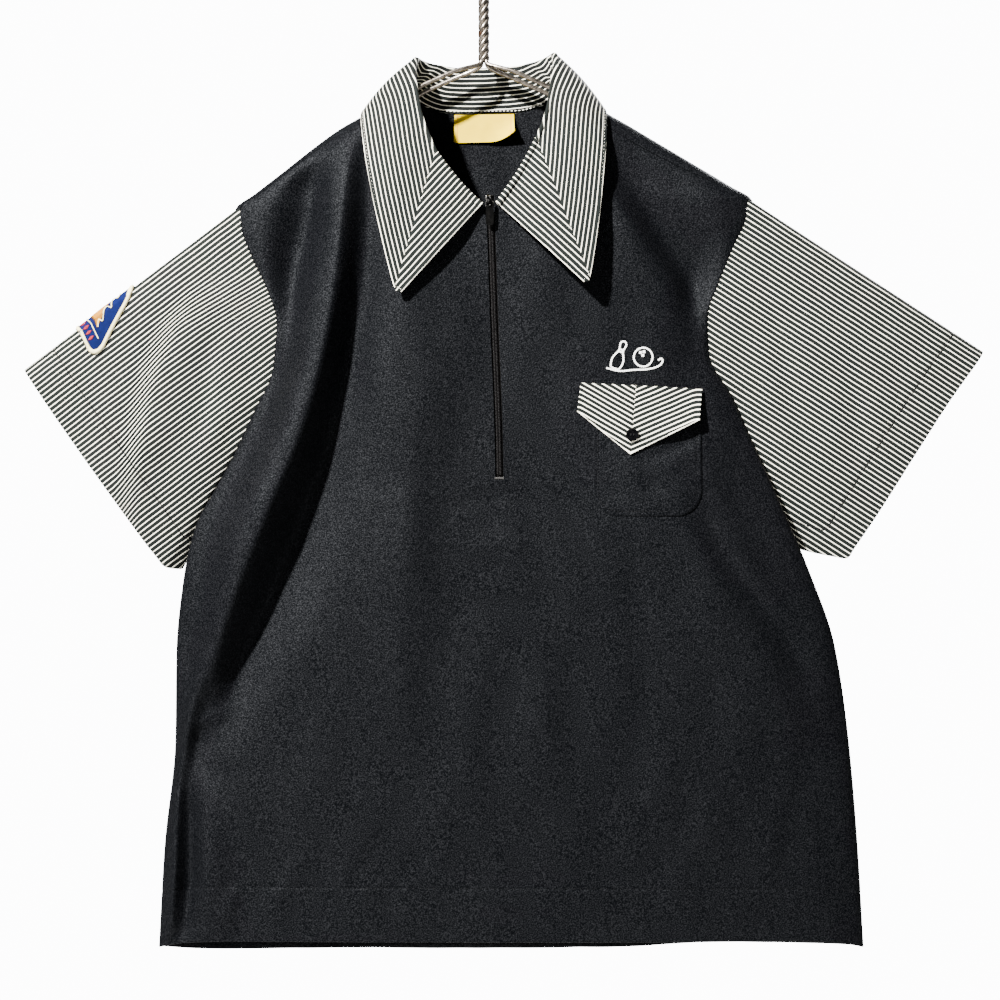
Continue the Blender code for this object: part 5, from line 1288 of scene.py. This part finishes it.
def sleeve_stripes(rings, dragged):
    """UVs whose second axis is the distance from the sleeve's top fold, down the front and, as a negative,
    down the back, seen from the side. Where the cloth turns, at both folds, its depth counts as well. The
    knit is dragged up along the ridge by the given distance.
    """
    fold = rings[-1, 0] - rings[0, 0]
    fold = np.array([fold[0], 0.0, fold[2]]) / math.hypot(fold[0], fold[2])
    side = np.array([-fold[2], 0.0, fold[0]])
    half = rings.shape[1] // 2
    in_front = np.arange(rings.shape[1]) <= half
    closed = np.concatenate([rings, rings[:, :1]], axis=1)
    depth = np.cumsum(np.abs(np.diff(closed[..., 1])), axis=1)
    depth = np.concatenate([np.zeros((len(rings), 1)), depth], axis=1)
    from_top = np.where(in_front, depth[:, :-1], depth[:, -1:] - depth[:, :-1])
    to_bottom = np.abs(depth[:, :-1] - depth[:, half : half + 1])
    away = np.abs((rings - rings[0, 0]) @ side)
    away = away + np.minimum(from_top, FOLD_TURN) + np.maximum(FOLD_TURN - to_bottom, 0)
    drop = -rings[..., 2]
    pulled = dragged * soft_step((rings[..., 0] - along(RIDGE, "x", drop)) / 0.028 + 0.5)
    pulled = pulled * soft_step((drop - 0.30) / 0.06) * in_front
    return np.stack([(rings - rings[0, 0]) @ fold, away * np.where(in_front, 1, -1) + pulled], axis=-1)


sleeves = {}
for side in (LEFT, RIGHT):
    rings = sleeve_surface(side, SLEEVE_SHARES, SLEEVE_COLUMNS)
    straight = np.linalg.norm(rings[-1] - rings[0], axis=-1)
    to_cuff = (1 - SLEEVE_SHARES)[:, None] * straight
    wall = THIN_WALL + (HEM_WALL - THIN_WALL) * soft_step((CUFF_HEM - to_cuff) / 0.002)
    ditch = 0.00055 * np.exp(-(((to_cuff - CUFF_HEM) / 0.0010) ** 2))
    uv = sleeve_stripes(rings, DRAGGED[side])
    sleeve = sew_cloth(f"sleeve_{side}_cloth", rings, uv, wall, SHADED_STRIPED_KNIT, ring=True, flip=side == RIGHT,
                       draw_in=rounded(to_cuff, wall) + ditch)
    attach(sleeve, "shirt")
    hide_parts(f"sleeve_{side}")
    # The cuff's stitching: 32 mm from its edge, round to where it began.
    at = np.interp(1 - CUFF_HEM / straight, SLEEVE_SHARES, np.arange(len(SLEEVE_SHARES)))
    closed = np.concatenate([rings, rings[:, :1]], axis=1)
    outward = normals(rings, ring=True) * (1 if side == LEFT else -1)
    outward = np.concatenate([outward, outward[:, :1]], axis=1)
    columns = np.arange(SLEEVE_COLUMNS + 1)
    line = pick(closed, np.append(at, at[0]), columns), pick(outward, np.append(at, at[0]), columns)
    lay_threads(f"cuff_{side}_stitches", *running(*line, 0.0034, 0.0026), 0.00050, BLACK_THREAD, loft=0.0001)
    sleeves[side] = rings, outward

# ---------------------------------------------------------------- sleeve patch
# An embroidered three-cornered patch folded over the top of the left sleeve, its point up the sleeve: blue
# twill with a gold wedge between cream scrolls and rows of red diamonds, inside a cream merrowed border.

PATCH_BASE, PATCH_POINT = 0.0585, 0.1215
PATCH_HALF_BASE, PATCH_CORNER = 0.0420, 0.017
PATCH_WALL, PATCH_OUT = 0.0011, 0.0020
BORDER_WIDTH, BORDER_PITCH = 0.0036, 0.00062

rings, outward = sleeves[LEFT]
length = np.linalg.norm(rings[-1, 0] - rings[0, 0])
up = near_edge(PATCH_POINT - PATCH_BASE, 56, 0.0003, 0.0030)
low = np.clip(PATCH_CORNER - up, 0, PATCH_CORNER)
high = np.clip(PATCH_CORNER - (PATCH_POINT - PATCH_BASE - up), 0, PATCH_CORNER)
slope = PATCH_HALF_BASE / (PATCH_POINT - PATCH_BASE + PATCH_CORNER)
half = PATCH_HALF_BASE - slope * up - PATCH_CORNER + np.sqrt(PATCH_CORNER**2 - low**2)
half = half - half[-1] * 0.5 * (high / PATCH_CORNER) ** 2
around = np.linspace(-1, 1, 81)
base = []
for share, width in zip(1 - (PATCH_BASE + up) / length, half):
    ring = sleeve_surface(LEFT, [share], SLEEVE_COLUMNS)[0]
    closed = np.vstack([ring, ring[:1]])
    base.append(resample(closed, (width * around) % lengths(closed)[-1]))
base = np.array(base)
patch_facing = -normals(base)
flat_patch = np.stack(np.broadcast_arrays(half[:, None] * around, up[:, None]), axis=-1)


def on_patch(across, above, out):
    """Points of the patch and their outward directions: across from the fold, positive in front, above from
    its base, and out from its face."""
    row = np.interp(above, up, np.arange(len(up)))
    column = (across / np.interp(above, up, half) + 1) / 2 * (len(around) - 1)
    column = np.clip(column, 0, len(around) - 1)
    facing = pick(patch_facing, row, column)
    return pick(base, row, column) + facing * (PATCH_OUT + np.asarray(out)[..., None]), facing


def weave_twill():
    """Blue twill under embroidery: slanted ribs and a slightly uneven dye."""
    material, tree, shader, place, flat = start_material("blue patch twill", 0.7, 0, 0.05, 0.004, 0.4)
    split = tree.nodes.new("ShaderNodeSeparateXYZ")
    put(split.inputs[0], flat)
    slant = calculate(tree, "ADD", split.outputs["X"], split.outputs["Y"])
    ribs = calculate(tree, "SINE", calculate(tree, "MULTIPLY", slant, 2 * math.pi / 0.0008))
    cloud = rise(tree, grain(tree, place, 0.004, 3), 0.3, 0.7)
    put(shader.inputs["Base Color"], mix(tree, cloud, (0.0005, 0.0020, 0.022), (0.0009, 0.0034, 0.034)))
    relief(tree, shader, ribs, 0.00015)
    return material


grid = base + patch_facing * PATCH_OUT
patch = sew_cloth("sleeve_patch_cloth", grid, flat_patch, PATCH_WALL, weave_twill(), flip=True)
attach(patch, "shirt")
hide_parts("sleeve_patch")


def embroider(name, starts, ends, colour, radius=0.00030, out=0.0001, loft=0.0003):
    """Satin stitches between pairs of places on the patch."""
    first, facing = on_patch(*starts.T, np.full(len(starts), out))
    last, _ = on_patch(*ends.T, np.full(len(ends), out))
    thread = spin_thread(f"{name} thread", colour, 0.5, 0.02)
    return lay_threads(f"patch_{name}", first, last, facing, radius, thread, loft=loft)


def satin_line(line, width, pitch=0.00045):
    """Starts and ends of stitches that cross a line at right angles, pitch apart."""
    knots = resample(line, np.arange(0, lengths(line)[-1], pitch))
    ahead = np.gradient(knots, axis=0)
    beside = np.stack([-ahead[:, 1], ahead[:, 0]], axis=-1)
    beside = beside / np.linalg.norm(beside, axis=1, keepdims=True) * width / 2
    return knots - beside, knots + beside


def wedge(tip, first, last, pitch=0.00045):
    """Starts and ends of stitches that fill a triangle, parallel to the side from first to last."""
    tip, first, last = (np.array(point) for point in (tip, first, last))
    share = np.linspace(0.08, 1, int(np.linalg.norm((first + last) / 2 - tip) / pitch))[:, None]
    return tip + (first - tip) * share, tip + (last - tip) * share


# The merrowed border: slanted threads from below the edge to inside it, all the way round.
outline = np.vstack([flat_patch[:, 0], flat_patch[-1, 1:-1], flat_patch[::-1, -1], flat_patch[0, -2:0:-1]])
outline = np.vstack([outline, outline[:1]])
edge = resample(outline, np.arange(0, lengths(outline)[-1], BORDER_PITCH))
ahead = np.roll(edge, -1, axis=0) - np.roll(edge, 1, axis=0)
ahead = ahead / np.linalg.norm(ahead, axis=1, keepdims=True)
inwards = np.stack([ahead[:, 1], -ahead[:, 0]], axis=-1)
centre = np.array([0.0, 0.024])
inwards = inwards * np.sign(((centre - edge) * inwards).sum(axis=1).mean())
inner = edge + inwards * BORDER_WIDTH + ahead * 0.0007
cream = (0.62, 0.55, 0.30)
first, facing = on_patch(*edge.T, np.full(len(edge), -0.0010))
last, _ = on_patch(*inner.T, np.full(len(edge), 0.0003))
outside, _ = on_patch(*(edge + inwards * 0.002).T, np.zeros(len(edge)))
first = first + (first - outside) * 0.25
lay_threads("patch_merrowed_border", first, last, facing, 0.00042,
            spin_thread("merrowing thread", cream, 0.5, 0.02), loft=0.0011)

lines = [satin_line(np.array([(-0.0255, 0.0135), (0.0, 0.0125), (0.0255, 0.0135)]), 0.0011)]
scroll = bend_through([
    (0.0035, 0.0500), (0.0065, 0.0455), (0.0030, 0.0425), (0.0065, 0.0385), (0.0105, 0.0350),
    (0.0065, 0.0325), (0.0100, 0.0270), (0.0150, 0.0235), (0.0120, 0.0205), (0.0170, 0.0175),
])
lines.append(satin_line(scroll, 0.0012))
lines.append(satin_line(scroll * (-1, 1), 0.0012))
starts, ends = (np.vstack(part) for part in zip(*lines))
embroider("cream_scrolls", starts, ends, cream, out=0.0006)
across = np.arange(-0.0165, 0.0166, 0.00045)
starts = np.stack([across, np.full(len(across), 0.0160)], axis=-1)
ends = np.stack([across, 0.0440 - 0.0270 * np.abs(across) / 0.0165], axis=-1)
embroider("gold_wedge", starts, ends, (0.25, 0.100, 0.0002))
diamonds = []
for middle in np.arange(-4, 5) * 0.0052:
    for tip in (0.0042, 0.0110):
        diamonds.append(wedge((middle, tip), (middle - 0.0019, 0.0076), (middle + 0.0019, 0.0076)))
diamonds.append(wedge((0.0, 0.0560), (-0.0024, 0.0530), (0.0024, 0.0530)))
diamonds.append(wedge((0.0, 0.0495), (-0.0024, 0.0530), (0.0024, 0.0530)))
starts, ends = (np.vstack(part) for part in zip(*diamonds))
embroider("red_diamonds", starts, ends, (0.21, 0.010, 0.012))

# ---------------------------------------------------------------- collar
# A one-piece shirt collar of the striped knit, folded over its roll line: the stand inside, the fall
# outside. Its stripes follow the outer edge, and those of the points, cut apart, meet them at a mitre.

COLLAR = {
    LEFT: table(
        "row roll_x roll_y roll_drop edge_x edge_y edge_drop",
        (0.0, 0.0000, 0.0220, 0.1190, 0.0000, 0.0400, 0.1720),
        (1.0, -0.0200, 0.0215, 0.1190, -0.0300, 0.0395, 0.1715),
        (2.0, -0.0380, 0.0180, 0.1180, -0.0620, 0.0360, 0.1690),
        (3.0, -0.0520, 0.0110, 0.1155, -0.0890, 0.0270, 0.1640),
        (4.0, -0.0595, 0.0020, 0.1130, -0.1040, 0.0090, 0.1590),
        (5.0, -0.0610, -0.0080, 0.1220, -0.1080, -0.0120, 0.1660),
        (6.0, -0.0590, -0.0180, 0.1390, -0.1040, -0.0300, 0.1970),
        (7.0, -0.0550, -0.0275, 0.1640, -0.0965, -0.0400, 0.2380),
        (8.0, -0.0490, -0.0320, 0.1820, -0.0870, -0.0460, 0.2800),
        (9.0, -0.0415, -0.0345, 0.1997, -0.0765, -0.0460, 0.3200),
        (9.5, -0.0200, -0.0365, 0.2290, -0.0745, -0.0458, 0.3232),
        (10.0, -0.0030, -0.0375, 0.2480, -0.0705, -0.0456, 0.3236),
    ),
    RIGHT: table(
        "row roll_x roll_y roll_drop edge_x edge_y edge_drop",
        (0.0, 0.0000, 0.0220, 0.1190, 0.0000, 0.0400, 0.1720),
        (1.0, 0.0210, 0.0215, 0.1180, 0.0310, 0.0395, 0.1710),
        (2.0, 0.0400, 0.0180, 0.1160, 0.0630, 0.0360, 0.1675),
        (3.0, 0.0540, 0.0110, 0.1120, 0.0890, 0.0270, 0.1620),
        (4.0, 0.0615, 0.0020, 0.1090, 0.1030, 0.0090, 0.1565),
        (5.0, 0.0625, -0.0080, 0.1190, 0.1070, -0.0120, 0.1630),
        (6.0, 0.0590, -0.0180, 0.1360, 0.1060, -0.0300, 0.1940),
        (7.0, 0.0555, -0.0275, 0.1600, 0.1025, -0.0400, 0.2350),
        (8.0, 0.0510, -0.0320, 0.1760, 0.0980, -0.0460, 0.2720),
        (9.0, 0.0455, -0.0345, 0.1900, 0.0915, -0.0500, 0.3110),
        (9.5, 0.0290, -0.0365, 0.2220, 0.0900, -0.0500, 0.3148),
        (10.0, 0.0130, -0.0375, 0.2465, 0.0860, -0.0500, 0.3152),
    ),
}
COLLAR_ROLL, COLLAR_SEAM, COLLAR_SWELL = 0.0023, 0.0013, 0.003
MITRE_ROW, ZIP_ROW = 9.0, 10.0
COLLAR_WALL = 0.0016
STAND_COLUMNS, TURN_COLUMNS, FALL_COLUMNS = 14, 9, 50
BAND_ROWS, POINT_ROWS = 110, 44
EDGE_COLUMNS = np.concatenate([np.geomspace(0.0036, 0.0001, 9), [0.0]])
STRIPE_STRETCH = 1.05


def neck_seam(side):
    """The neck seam from the middle of the back over the shoulder to the zip, as a fine line."""
    sign = -1 if side == LEFT else 1
    drops = np.linspace(BACK_NECK_ROW, BODY["drop"][0], 120)
    behind = body(angle_at(sign * along(BACK_NECK, "half", drops), drops, in_front=False), drops)
    middle = body(-90.0, BACK_NECK_ROW)[None]
    drops = np.linspace(BODY["drop"][0], NECK_BOTTOM, 240)[1:]
    before = body(angle_at(along(FRONT_NECK, side, drops), drops), drops)
    bottom = resample(np.vstack([middle, behind[:1]]), np.linspace(0, abs(behind[0, 0]), 30))
    return np.vstack([bottom[:-1], behind, before])


def collar_points(side, kind, at):
    """The collar's roll or edge points at places between its rows."""
    columns = [along(COLLAR[side], f"{kind}_{axis}", at, "row") for axis in ("x", "y", "drop")]
    return np.stack([columns[0], columns[1], -columns[2]], axis=-1)


def collar_surface(side, where):
    """The middle of the collar's cloth: straight up the stand, half a circle over the roll line, and
    straight down the fall with a swell of sine(share of the fall). A row for each place.
    """
    seam = neck_seam(side)
    measured = lengths(seam)
    listed = collar_points(side, "roll", COLLAR[side]["row"])
    nearest = [np.argmin(np.linalg.norm(seam - point, axis=1)) for point in listed]
    places = {"row": COLLAR[side]["row"], "length": np.maximum.accumulate(measured[nearest])}
    neck = resample(seam, along(places, "length", where, "row"))
    roll, edge = collar_points(side, "roll", where), collar_points(side, "edge", where)
    down = neck - roll
    down = down / np.linalg.norm(down, axis=1, keepdims=True)
    neck = neck - down * COLLAR_SEAM
    out = edge - neck
    out = out - (out * down).sum(axis=1, keepdims=True) * down
    out = out / np.linalg.norm(out, axis=1, keepdims=True)
    centre = roll + down * COLLAR_ROLL
    angles = np.linspace(0, math.pi, TURN_COLUMNS)
    turn = [centre - COLLAR_ROLL * (math.cos(angle) * out + math.sin(angle) * down) for angle in angles]
    stand = [neck + (turn[0] - neck) * share for share in np.linspace(0, 1, STAND_COLUMNS, endpoint=False)]
    reach = np.linalg.norm(edge - turn[-1], axis=1)[:, None]
    even = np.linspace(0, 1, FALL_COLUMNS - len(EDGE_COLUMNS) + 1)[1:]
    share = np.hstack([even * (1 - 0.0050 / reach), 1 - EDGE_COLUMNS / reach])
    fall = turn[-1][:, None] + (edge - turn[-1])[:, None] * share[..., None]
    grid = np.concatenate([np.stack(stand + turn, axis=1), fall], axis=1)
    push = np.zeros(grid.shape[:2])
    push[:, -FALL_COLUMNS:] = COLLAR_SWELL * np.sin(math.pi * share)
    # The stand ripples where the hanger's wires press it from inside.
    ripple = np.sin(where * 4.1 + (0.6 if side == LEFT else 2.2)) * np.exp(-((where / 4.0) ** 2))
    push[:, :STAND_COLUMNS] += 0.0011 * ripple[:, None] * np.sin(math.pi * np.linspace(0, 1, STAND_COLUMNS))
    # The fall waves a little along its length.
    wave = 0.0007 * np.sin(where * 1.9 + (1.0 if side == LEFT else 3.0))
    wave = wave * soft_step(where / 2) * soft_step(MITRE_ROW - where)
    push[:, -FALL_COLUMNS:] += wave[:, None] * share
    return grid + push[..., None] * normals(grid) * (1 if side == RIGHT else -1)


def run_on(line):
    """A bent line whose first and last parts run on by half a metre."""
    on = [step / np.linalg.norm(step) / 2 for step in (line[0] - line[1], line[-1] - line[-2])]
    return np.vstack([line[0] + on[0], line, line[-1] + on[1]])


def collar_stripes(grid, side, where):
    """UVs whose second axis is the distance from the edge that the stripes follow: the outer edge up to the
    mitre, and past it the front edge, stretched so that both agree on the mitre. From the roll line inwards
    it goes on as it last rose on the fall, so that a stripe runs straight over the roll.
    """
    edge = collar_points(side, "edge", np.linspace(0, MITRE_ROW, 37))
    outer = away_from(grid, run_on(edge))
    inner = away_from(grid, run_on(grid[-1, -FALL_COLUMNS:]))
    mitre = int(np.argmin(np.abs(where - MITRE_ROW)))
    ratio = outer[mitre] / np.maximum(inner[mitre], 0.0005)
    ratio = np.median(ratio[-FALL_COLUMNS:-12])
    past = (where > MITRE_ROW + 0.0001)[:, None]
    v = np.where(past, inner * ratio, outer)
    top = STAND_COLUMNS + TURN_COLUMNS - 1
    steps = np.linalg.norm(np.diff(grid, axis=1), axis=-1)
    rising = (v[:, top + 1] - v[:, top + 5]) / steps[:, top + 1 : top + 5].sum(axis=1)
    back_along = np.cumsum(steps[:, top::-1], axis=1)[:, ::-1]
    v[:, : top + 1] = v[:, top + 1 : top + 2] + back_along * rising[:, None]
    walked = np.cumsum(np.linalg.norm(np.diff(grid[:, -FALL_COLUMNS // 2], axis=0), axis=-1))
    u = np.broadcast_to(np.concatenate([[0.0], walked])[:, None], v.shape)
    v = np.where(np.where(past, inner, outer) < 0.0007, 0.0, v * STRIPE_STRETCH - 0.06 * STRIPE_PITCH)
    return np.stack([u * (-1 if side == LEFT else 1), v], axis=-1)


point = np.concatenate([
    [MITRE_ROW], MITRE_ROW + np.geomspace(0.002, 0.02, 4), np.linspace(MITRE_ROW + 0.04, ZIP_ROW - 0.06, 32),
    ZIP_ROW - np.geomspace(0.04, 0.0016, 7), [ZIP_ROW],
])
band = np.concatenate([
    np.linspace(0, MITRE_ROW - 0.10, BAND_ROWS - 4), MITRE_ROW - np.geomspace(0.04, 0.004, 4), [MITRE_ROW],
])
where = np.concatenate([band, point[1:]])
halves = {side: collar_surface(side, where) for side in (LEFT, RIGHT)}
stripes = {side: collar_stripes(halves[side], side, where) for side in (LEFT, RIGHT)}
grid = np.vstack([halves[LEFT][::-1], halves[RIGHT][1:]])
uv = np.vstack([stripes[LEFT][::-1], stripes[RIGHT][1:]])
facing = normals(grid)
last_row = len(grid) - 1
# The collar's edges are round, stitching draws in a line inside them, and the mitres' seams sink in.
edges = [grid[:, -1], grid[0, -FALL_COLUMNS:], grid[-1, -FALL_COLUMNS:]]
inward = np.min([away_from(grid, edge) for edge in edges], axis=0)
mitres = [away_from(grid, grid[row, -FALL_COLUMNS:]) for row in (POINT_ROWS, last_row - POINT_ROWS)]
draw_in = rounded(inward, COLLAR_WALL) + 0.00028 * np.exp(-(((inward - 0.0030) / 0.0010) ** 2))
draw_in = draw_in + 0.00030 * np.exp(-((np.min(mitres, axis=0) / 0.0008) ** 2))
draw_in = np.minimum(draw_in, 0.48 * COLLAR_WALL)
cuts = (0, POINT_ROWS, last_row - POINT_ROWS, last_row)
for node, slot, first, last, flat_size, area in (
    ("collar_point_left", "striped_knit_on_the_bias", *cuts[:2], (0.13, 0.07), 0.0050),
    ("collar", "striped_knit", *cuts[1:3], (0.62, 0.14), 0.040),
    ("collar_point_right", "striped_knit_on_the_bias", *cuts[2:], (0.13, 0.07), 0.0050),
):
    span = slice(first, last + 1)
    piece = sew_cloth(f"{node}_cloth", grid[span], uv[span], COLLAR_WALL, SHADED_STRIPED_KNIT, middle=True,
                      facing=facing[span], draw_in=draw_in[span])
    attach(piece, "shirt")
    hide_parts(node)

IVORY_THREAD = spin_thread("ivory sewing thread", (0.78, 0.75, 0.66))
fall = grid[:, -FALL_COLUMNS:]
to_edge = np.linalg.norm(fall - grid[:, -1:], axis=-1)[:, ::-1]
column = np.array([np.interp(0.0030, row, np.arange(FALL_COLUMNS)) for row in to_edge])
column = grid.shape[1] - 1 - column
rows = np.arange(len(grid))[6:-6]
line, line_facing = (pick(part, rows, column[6:-6]) for part in (grid, facing))
line = line + line_facing * (COLLAR_WALL / 2 - 0.0003)
lay_threads("collar_edge_stitches", *running(line, line_facing, 0.0032, 0.0022), 0.00018, IVORY_THREAD,
            loft=0.00005)

# White stitches show where the stand is sewn into the neck seam, inside the back.
rows = np.arange(last_row // 2 - 52, last_row // 2 + 53)
line, line_facing = (pick(part, rows, np.full(len(rows), 0.35)) for part in (grid, facing))
line = line + line_facing * (COLLAR_WALL / 2)
lay_threads("neck_seam_stitches", *running(line, line_facing, 0.0034, 0.0022), 0.00032, IVORY_THREAD,
            loft=0.0002)

# ---------------------------------------------------------------- hems and stitching
# Both hems are turned up 48 mm and blind-stitched in black, and the pocket is stitched round in black a few
# millimetres inside its rolled edge.

for name, line, outward in (("front", front_hem, (0.0, -1.0, 0.0)), ("back", back_hem, (0.0, 1.0, 0.0))):
    out = np.broadcast_to(outward, line.shape)
    lay_threads(f"{name}_hem_stitches", *running(line - out * 0.0001, out, 0.0058, 0.0011), 0.00020,
                BLACK_THREAD, loft=0.0001)

inside = 0.0043
corner = POCKET_CORNER - inside
angle = np.radians(np.linspace(0, 90, 12))
turn = np.stack([np.cos(angle), np.sin(angle)], axis=-1) * corner
low = POCKET_BOTTOM - inside - corner
line = np.vstack([
    [(POCKET_RIGHT - inside, POCKET_TOP + 0.004)],
    turn + (POCKET_RIGHT - inside - corner, low),
    (turn * (-1, 1))[::-1] + (POCKET_LEFT + inside + corner, low),
    [(POCKET_LEFT + inside, POCKET_TOP + 0.004)],
])
line = resample(line, np.arange(0, lengths(line)[-1], 0.001))
line = on_front(*line.T, 0.0011)
out = np.broadcast_to((0.0, -1.0, 0.0), line.shape)
lay_threads("pocket_stitches", *running(line, out, 0.0030, 0.0020), 0.00020, BLACK_THREAD, loft=0.0001)

# ---------------------------------------------------------------- hanger
# A hanger of two drawn steel wires. Each is bent double into an arm, the four strands are twisted together
# above the arms, and one goes on up as the hook.

WIRE_RADIUS = 0.0020
STRAND_OFFSET = 0.0031
TWIST_TOP, TWIST_BOTTOM, TWIST_PITCH = 0.0580, 0.1170, 0.0280
HOOK_RADIUS, HOOK_WIRE_RADIUS = 0.0210, 0.0014
HOOK_RISE = np.array([
    (0.0008, 0.0, -0.0535),
    (0.0040, 0.0, -0.0480),
    (0.0110, 0.0, -0.0400),
    (0.0182, 0.0, -0.0310),
])
ARM_NECK = table(
    "x drop spread",
    (0.0022, 0.1170, 0.0022),
    (0.0040, 0.1202, 0.0030),
    (0.0120, 0.1236, 0.0060),
    (0.0260, 0.1283, 0.0085),
    (0.0400, 0.1345, 0.0090),
    (0.0550, 0.1415, 0.0090),
)
ARM_UNDER_SHOULDER, ARM_SPREAD, ARM_RISE = 0.0126, 0.0090, 0.0016
ARM_END = {LEFT: 0.196, RIGHT: 0.210}


def draw_wire():
    """Drawn steel: warm grey, with lengthwise scratches, dull spots of old plating and a little rust."""
    material, tree, shader, place, _ = start_material("drawn steel wire", 0.3, 1.0, 0.5)
    spots = rise(tree, grain(tree, place, 0.0045, 4), 0.42, 0.72)
    colour = mix(tree, spots, (0.16, 0.14, 0.118), (0.036, 0.029, 0.023))
    rust = rise(tree, grain(tree, place, 0.011, 4), 0.64, 0.76)
    put(shader.inputs["Base Color"], mix(tree, rust, colour, (0.060, 0.030, 0.016)))
    scratches = grain(tree, place, 0.0007, 3, (0.25, 1.0, 1.0))
    put(shader.inputs["Roughness"], rise(tree, scratches, 0.3, 0.75, 0.20, 0.46))
    relief(tree, shader, scratches, 0.00006)
    return material


def bend_wire(name, points, material):
    """A round wire along a smooth line through the points, its ends capped."""
    line = bend_through(points, samples=5)
    curve = bpy.data.curves.new(name, "CURVE")
    curve.dimensions = "3D"
    curve.bevel_depth = WIRE_RADIUS
    curve.bevel_resolution = 4
    curve.use_fill_caps = True
    spline = curve.splines.new("POLY")
    spline.points.add(len(line) - 1)
    spline.points.foreach_set("co", np.hstack([line, np.ones((len(line), 1))]).ravel())
    curve.materials.append(material)
    wire = bpy.data.objects.new(name, curve)
    bpy.context.scene.collection.objects.link(wire)
    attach(wire, "shirt")
    return wire


def strand(angle_at_bottom):
    """One strand of the twist, from its bottom up."""
    drop = np.linspace(TWIST_BOTTOM, TWIST_TOP, 20)
    angle = math.radians(angle_at_bottom) + 2 * math.pi * (TWIST_BOTTOM - drop) / TWIST_PITCH
    return np.stack([STRAND_OFFSET * np.cos(angle), STRAND_OFFSET * np.sin(angle), -drop], axis=-1)


def arm(side):
    """An arm of doubled wire: out along its front strand, round its end and back along the other."""
    sign = -1 if side == LEFT else 1
    shoulder = BODY["drop"] < SHOULDER_TIP + 0.0001
    ridge = BODY["drop"][shoulder] - sign * BODY["tilt"][shoulder] / 2
    x = np.concatenate([ARM_NECK["x"], np.linspace(0.068, ARM_END[side], 12)])
    drop = np.interp(x, sign * BODY[side][shoulder], ridge) + ARM_UNDER_SHOULDER
    neck = len(ARM_NECK["x"])
    drop[:neck] = ARM_NECK["drop"]
    spread = np.concatenate([ARM_NECK["spread"], np.full(12, ARM_SPREAD)])
    rise_by = ARM_RISE * spread / ARM_SPREAD
    out = np.stack([sign * x, -spread, rise_by - drop], axis=-1)
    back = np.stack([sign * x, spread, -rise_by - drop], axis=-1)[::-1]
    slope = (out[-1] - out[-2]) / np.linalg.norm(out[-1] - out[-2])
    turn = np.radians(np.linspace(-90, 90, 7)[1:-1, None])
    bend = (out[-1] + back[0]) / 2 + np.cos(turn) * slope * ARM_SPREAD
    bend = bend + np.sin(turn) * (back[0] - out[-1]) / 2
    return np.vstack([out, bend, back])


STEEL = draw_wire()
radius = HOOK_RADIUS + HOOK_WIRE_RADIUS
angle = np.radians(np.linspace(0, 205, 17))
crook = np.stack([radius * np.cos(angle), np.zeros(17), radius * np.sin(angle) - HOOK_RADIUS], axis=-1)
left_front, left_back, right_front, right_back = (strand(at) for at in (225, 135, 315, 45))
path = np.vstack([left_back[::-1], arm(LEFT)[::-1][1:], left_front[1:], HOOK_RISE, crook])
wire_left = bend_wire("hanger_left_wire", path, STEEL)
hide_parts("hanger_wire_left")
path = np.vstack([right_back[::-1], arm(RIGHT)[::-1][1:], right_front[1:]])
wire_right = bend_wire("hanger_right_wire", path, STEEL)
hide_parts("hanger_wire_right")

# ---------------------------------------------------------------- floor, light and camera
# A pale studio: a plain floor far below the hem, a soft key light from the upper left and a pale fill.

FLOOR_HALF, FLOOR_DROP = 4.0, 2.6
WALLS_LIGHT, FILL_LIGHT = 13.0, 0.40
mesh = bpy.data.meshes.new("studio_floor")
corners = [(x * FLOOR_HALF, y * FLOOR_HALF, -FLOOR_DROP) for x, y in ((-1, -1), (1, -1), (1, 1), (-1, 1))]
mesh.from_pydata(corners, [], [(0, 1, 2, 3)])
floor = bpy.data.objects.new("studio_floor", mesh)
bpy.context.scene.collection.objects.link(floor)
paint, tree, shader, place, _ = start_material("pale floor", 0.85, 0, 0.2)
cloud = grain(tree, place, 0.4, 3)
put(shader.inputs["Base Color"], mix(tree, cloud, (0.80, 0.80, 0.79), (0.84, 0.84, 0.83)))
mesh.materials.append(paint)

world = bpy.data.worlds.new("pale studio")
world.use_nodes = True
bpy.context.scene.world = world
backdrop = world.node_tree.nodes["Background"]
backdrop.inputs["Color"].default_value = (0.98, 0.985, 1.0, 1.0)
# The walls are lit brighter than the light that they throw back on the shirt.
seen = world.node_tree.nodes.new("ShaderNodeLightPath").outputs["Is Camera Ray"]
put(backdrop.inputs["Strength"], calculate(world.node_tree, "MULTIPLY_ADD", seen, WALLS_LIGHT, FILL_LIGHT))


def add_light(name, place, towards, size, power, colour):
    light = bpy.data.lights.new(name, "AREA")
    light.shape = "DISK"
    light.size = size
    light.energy = power
    light.color = colour
    lamp = bpy.data.objects.new(name, light)
    lamp.location = place
    lamp.rotation_euler = (Vector(towards) - Vector(place)).to_track_quat("-Z", "Y").to_euler()
    bpy.context.scene.collection.objects.link(lamp)


SHIRT_MIDDLE = (0.02, 0.0, -0.52)
add_light("key light", (-1.58, -2.11, 1.55), SHIRT_MIDDLE, 0.16, 1700.0, (1.0, 0.985, 0.96))
add_light("back light", (1.6, 2.6, 1.0), SHIRT_MIDDLE, 2.0, 480.0, (0.95, 0.97, 1.0))

camera = bpy.data.objects.new("camera", bpy.data.cameras.new("camera"))
camera.data.sensor_width = 36.0
camera.data.lens = 81.8
camera.location = (0.0141, -2.0, -0.5025)
camera.rotation_euler = (math.radians(90), 0.0, 0.0)
bpy.context.scene.collection.objects.link(camera)
bpy.context.scene.camera = camera
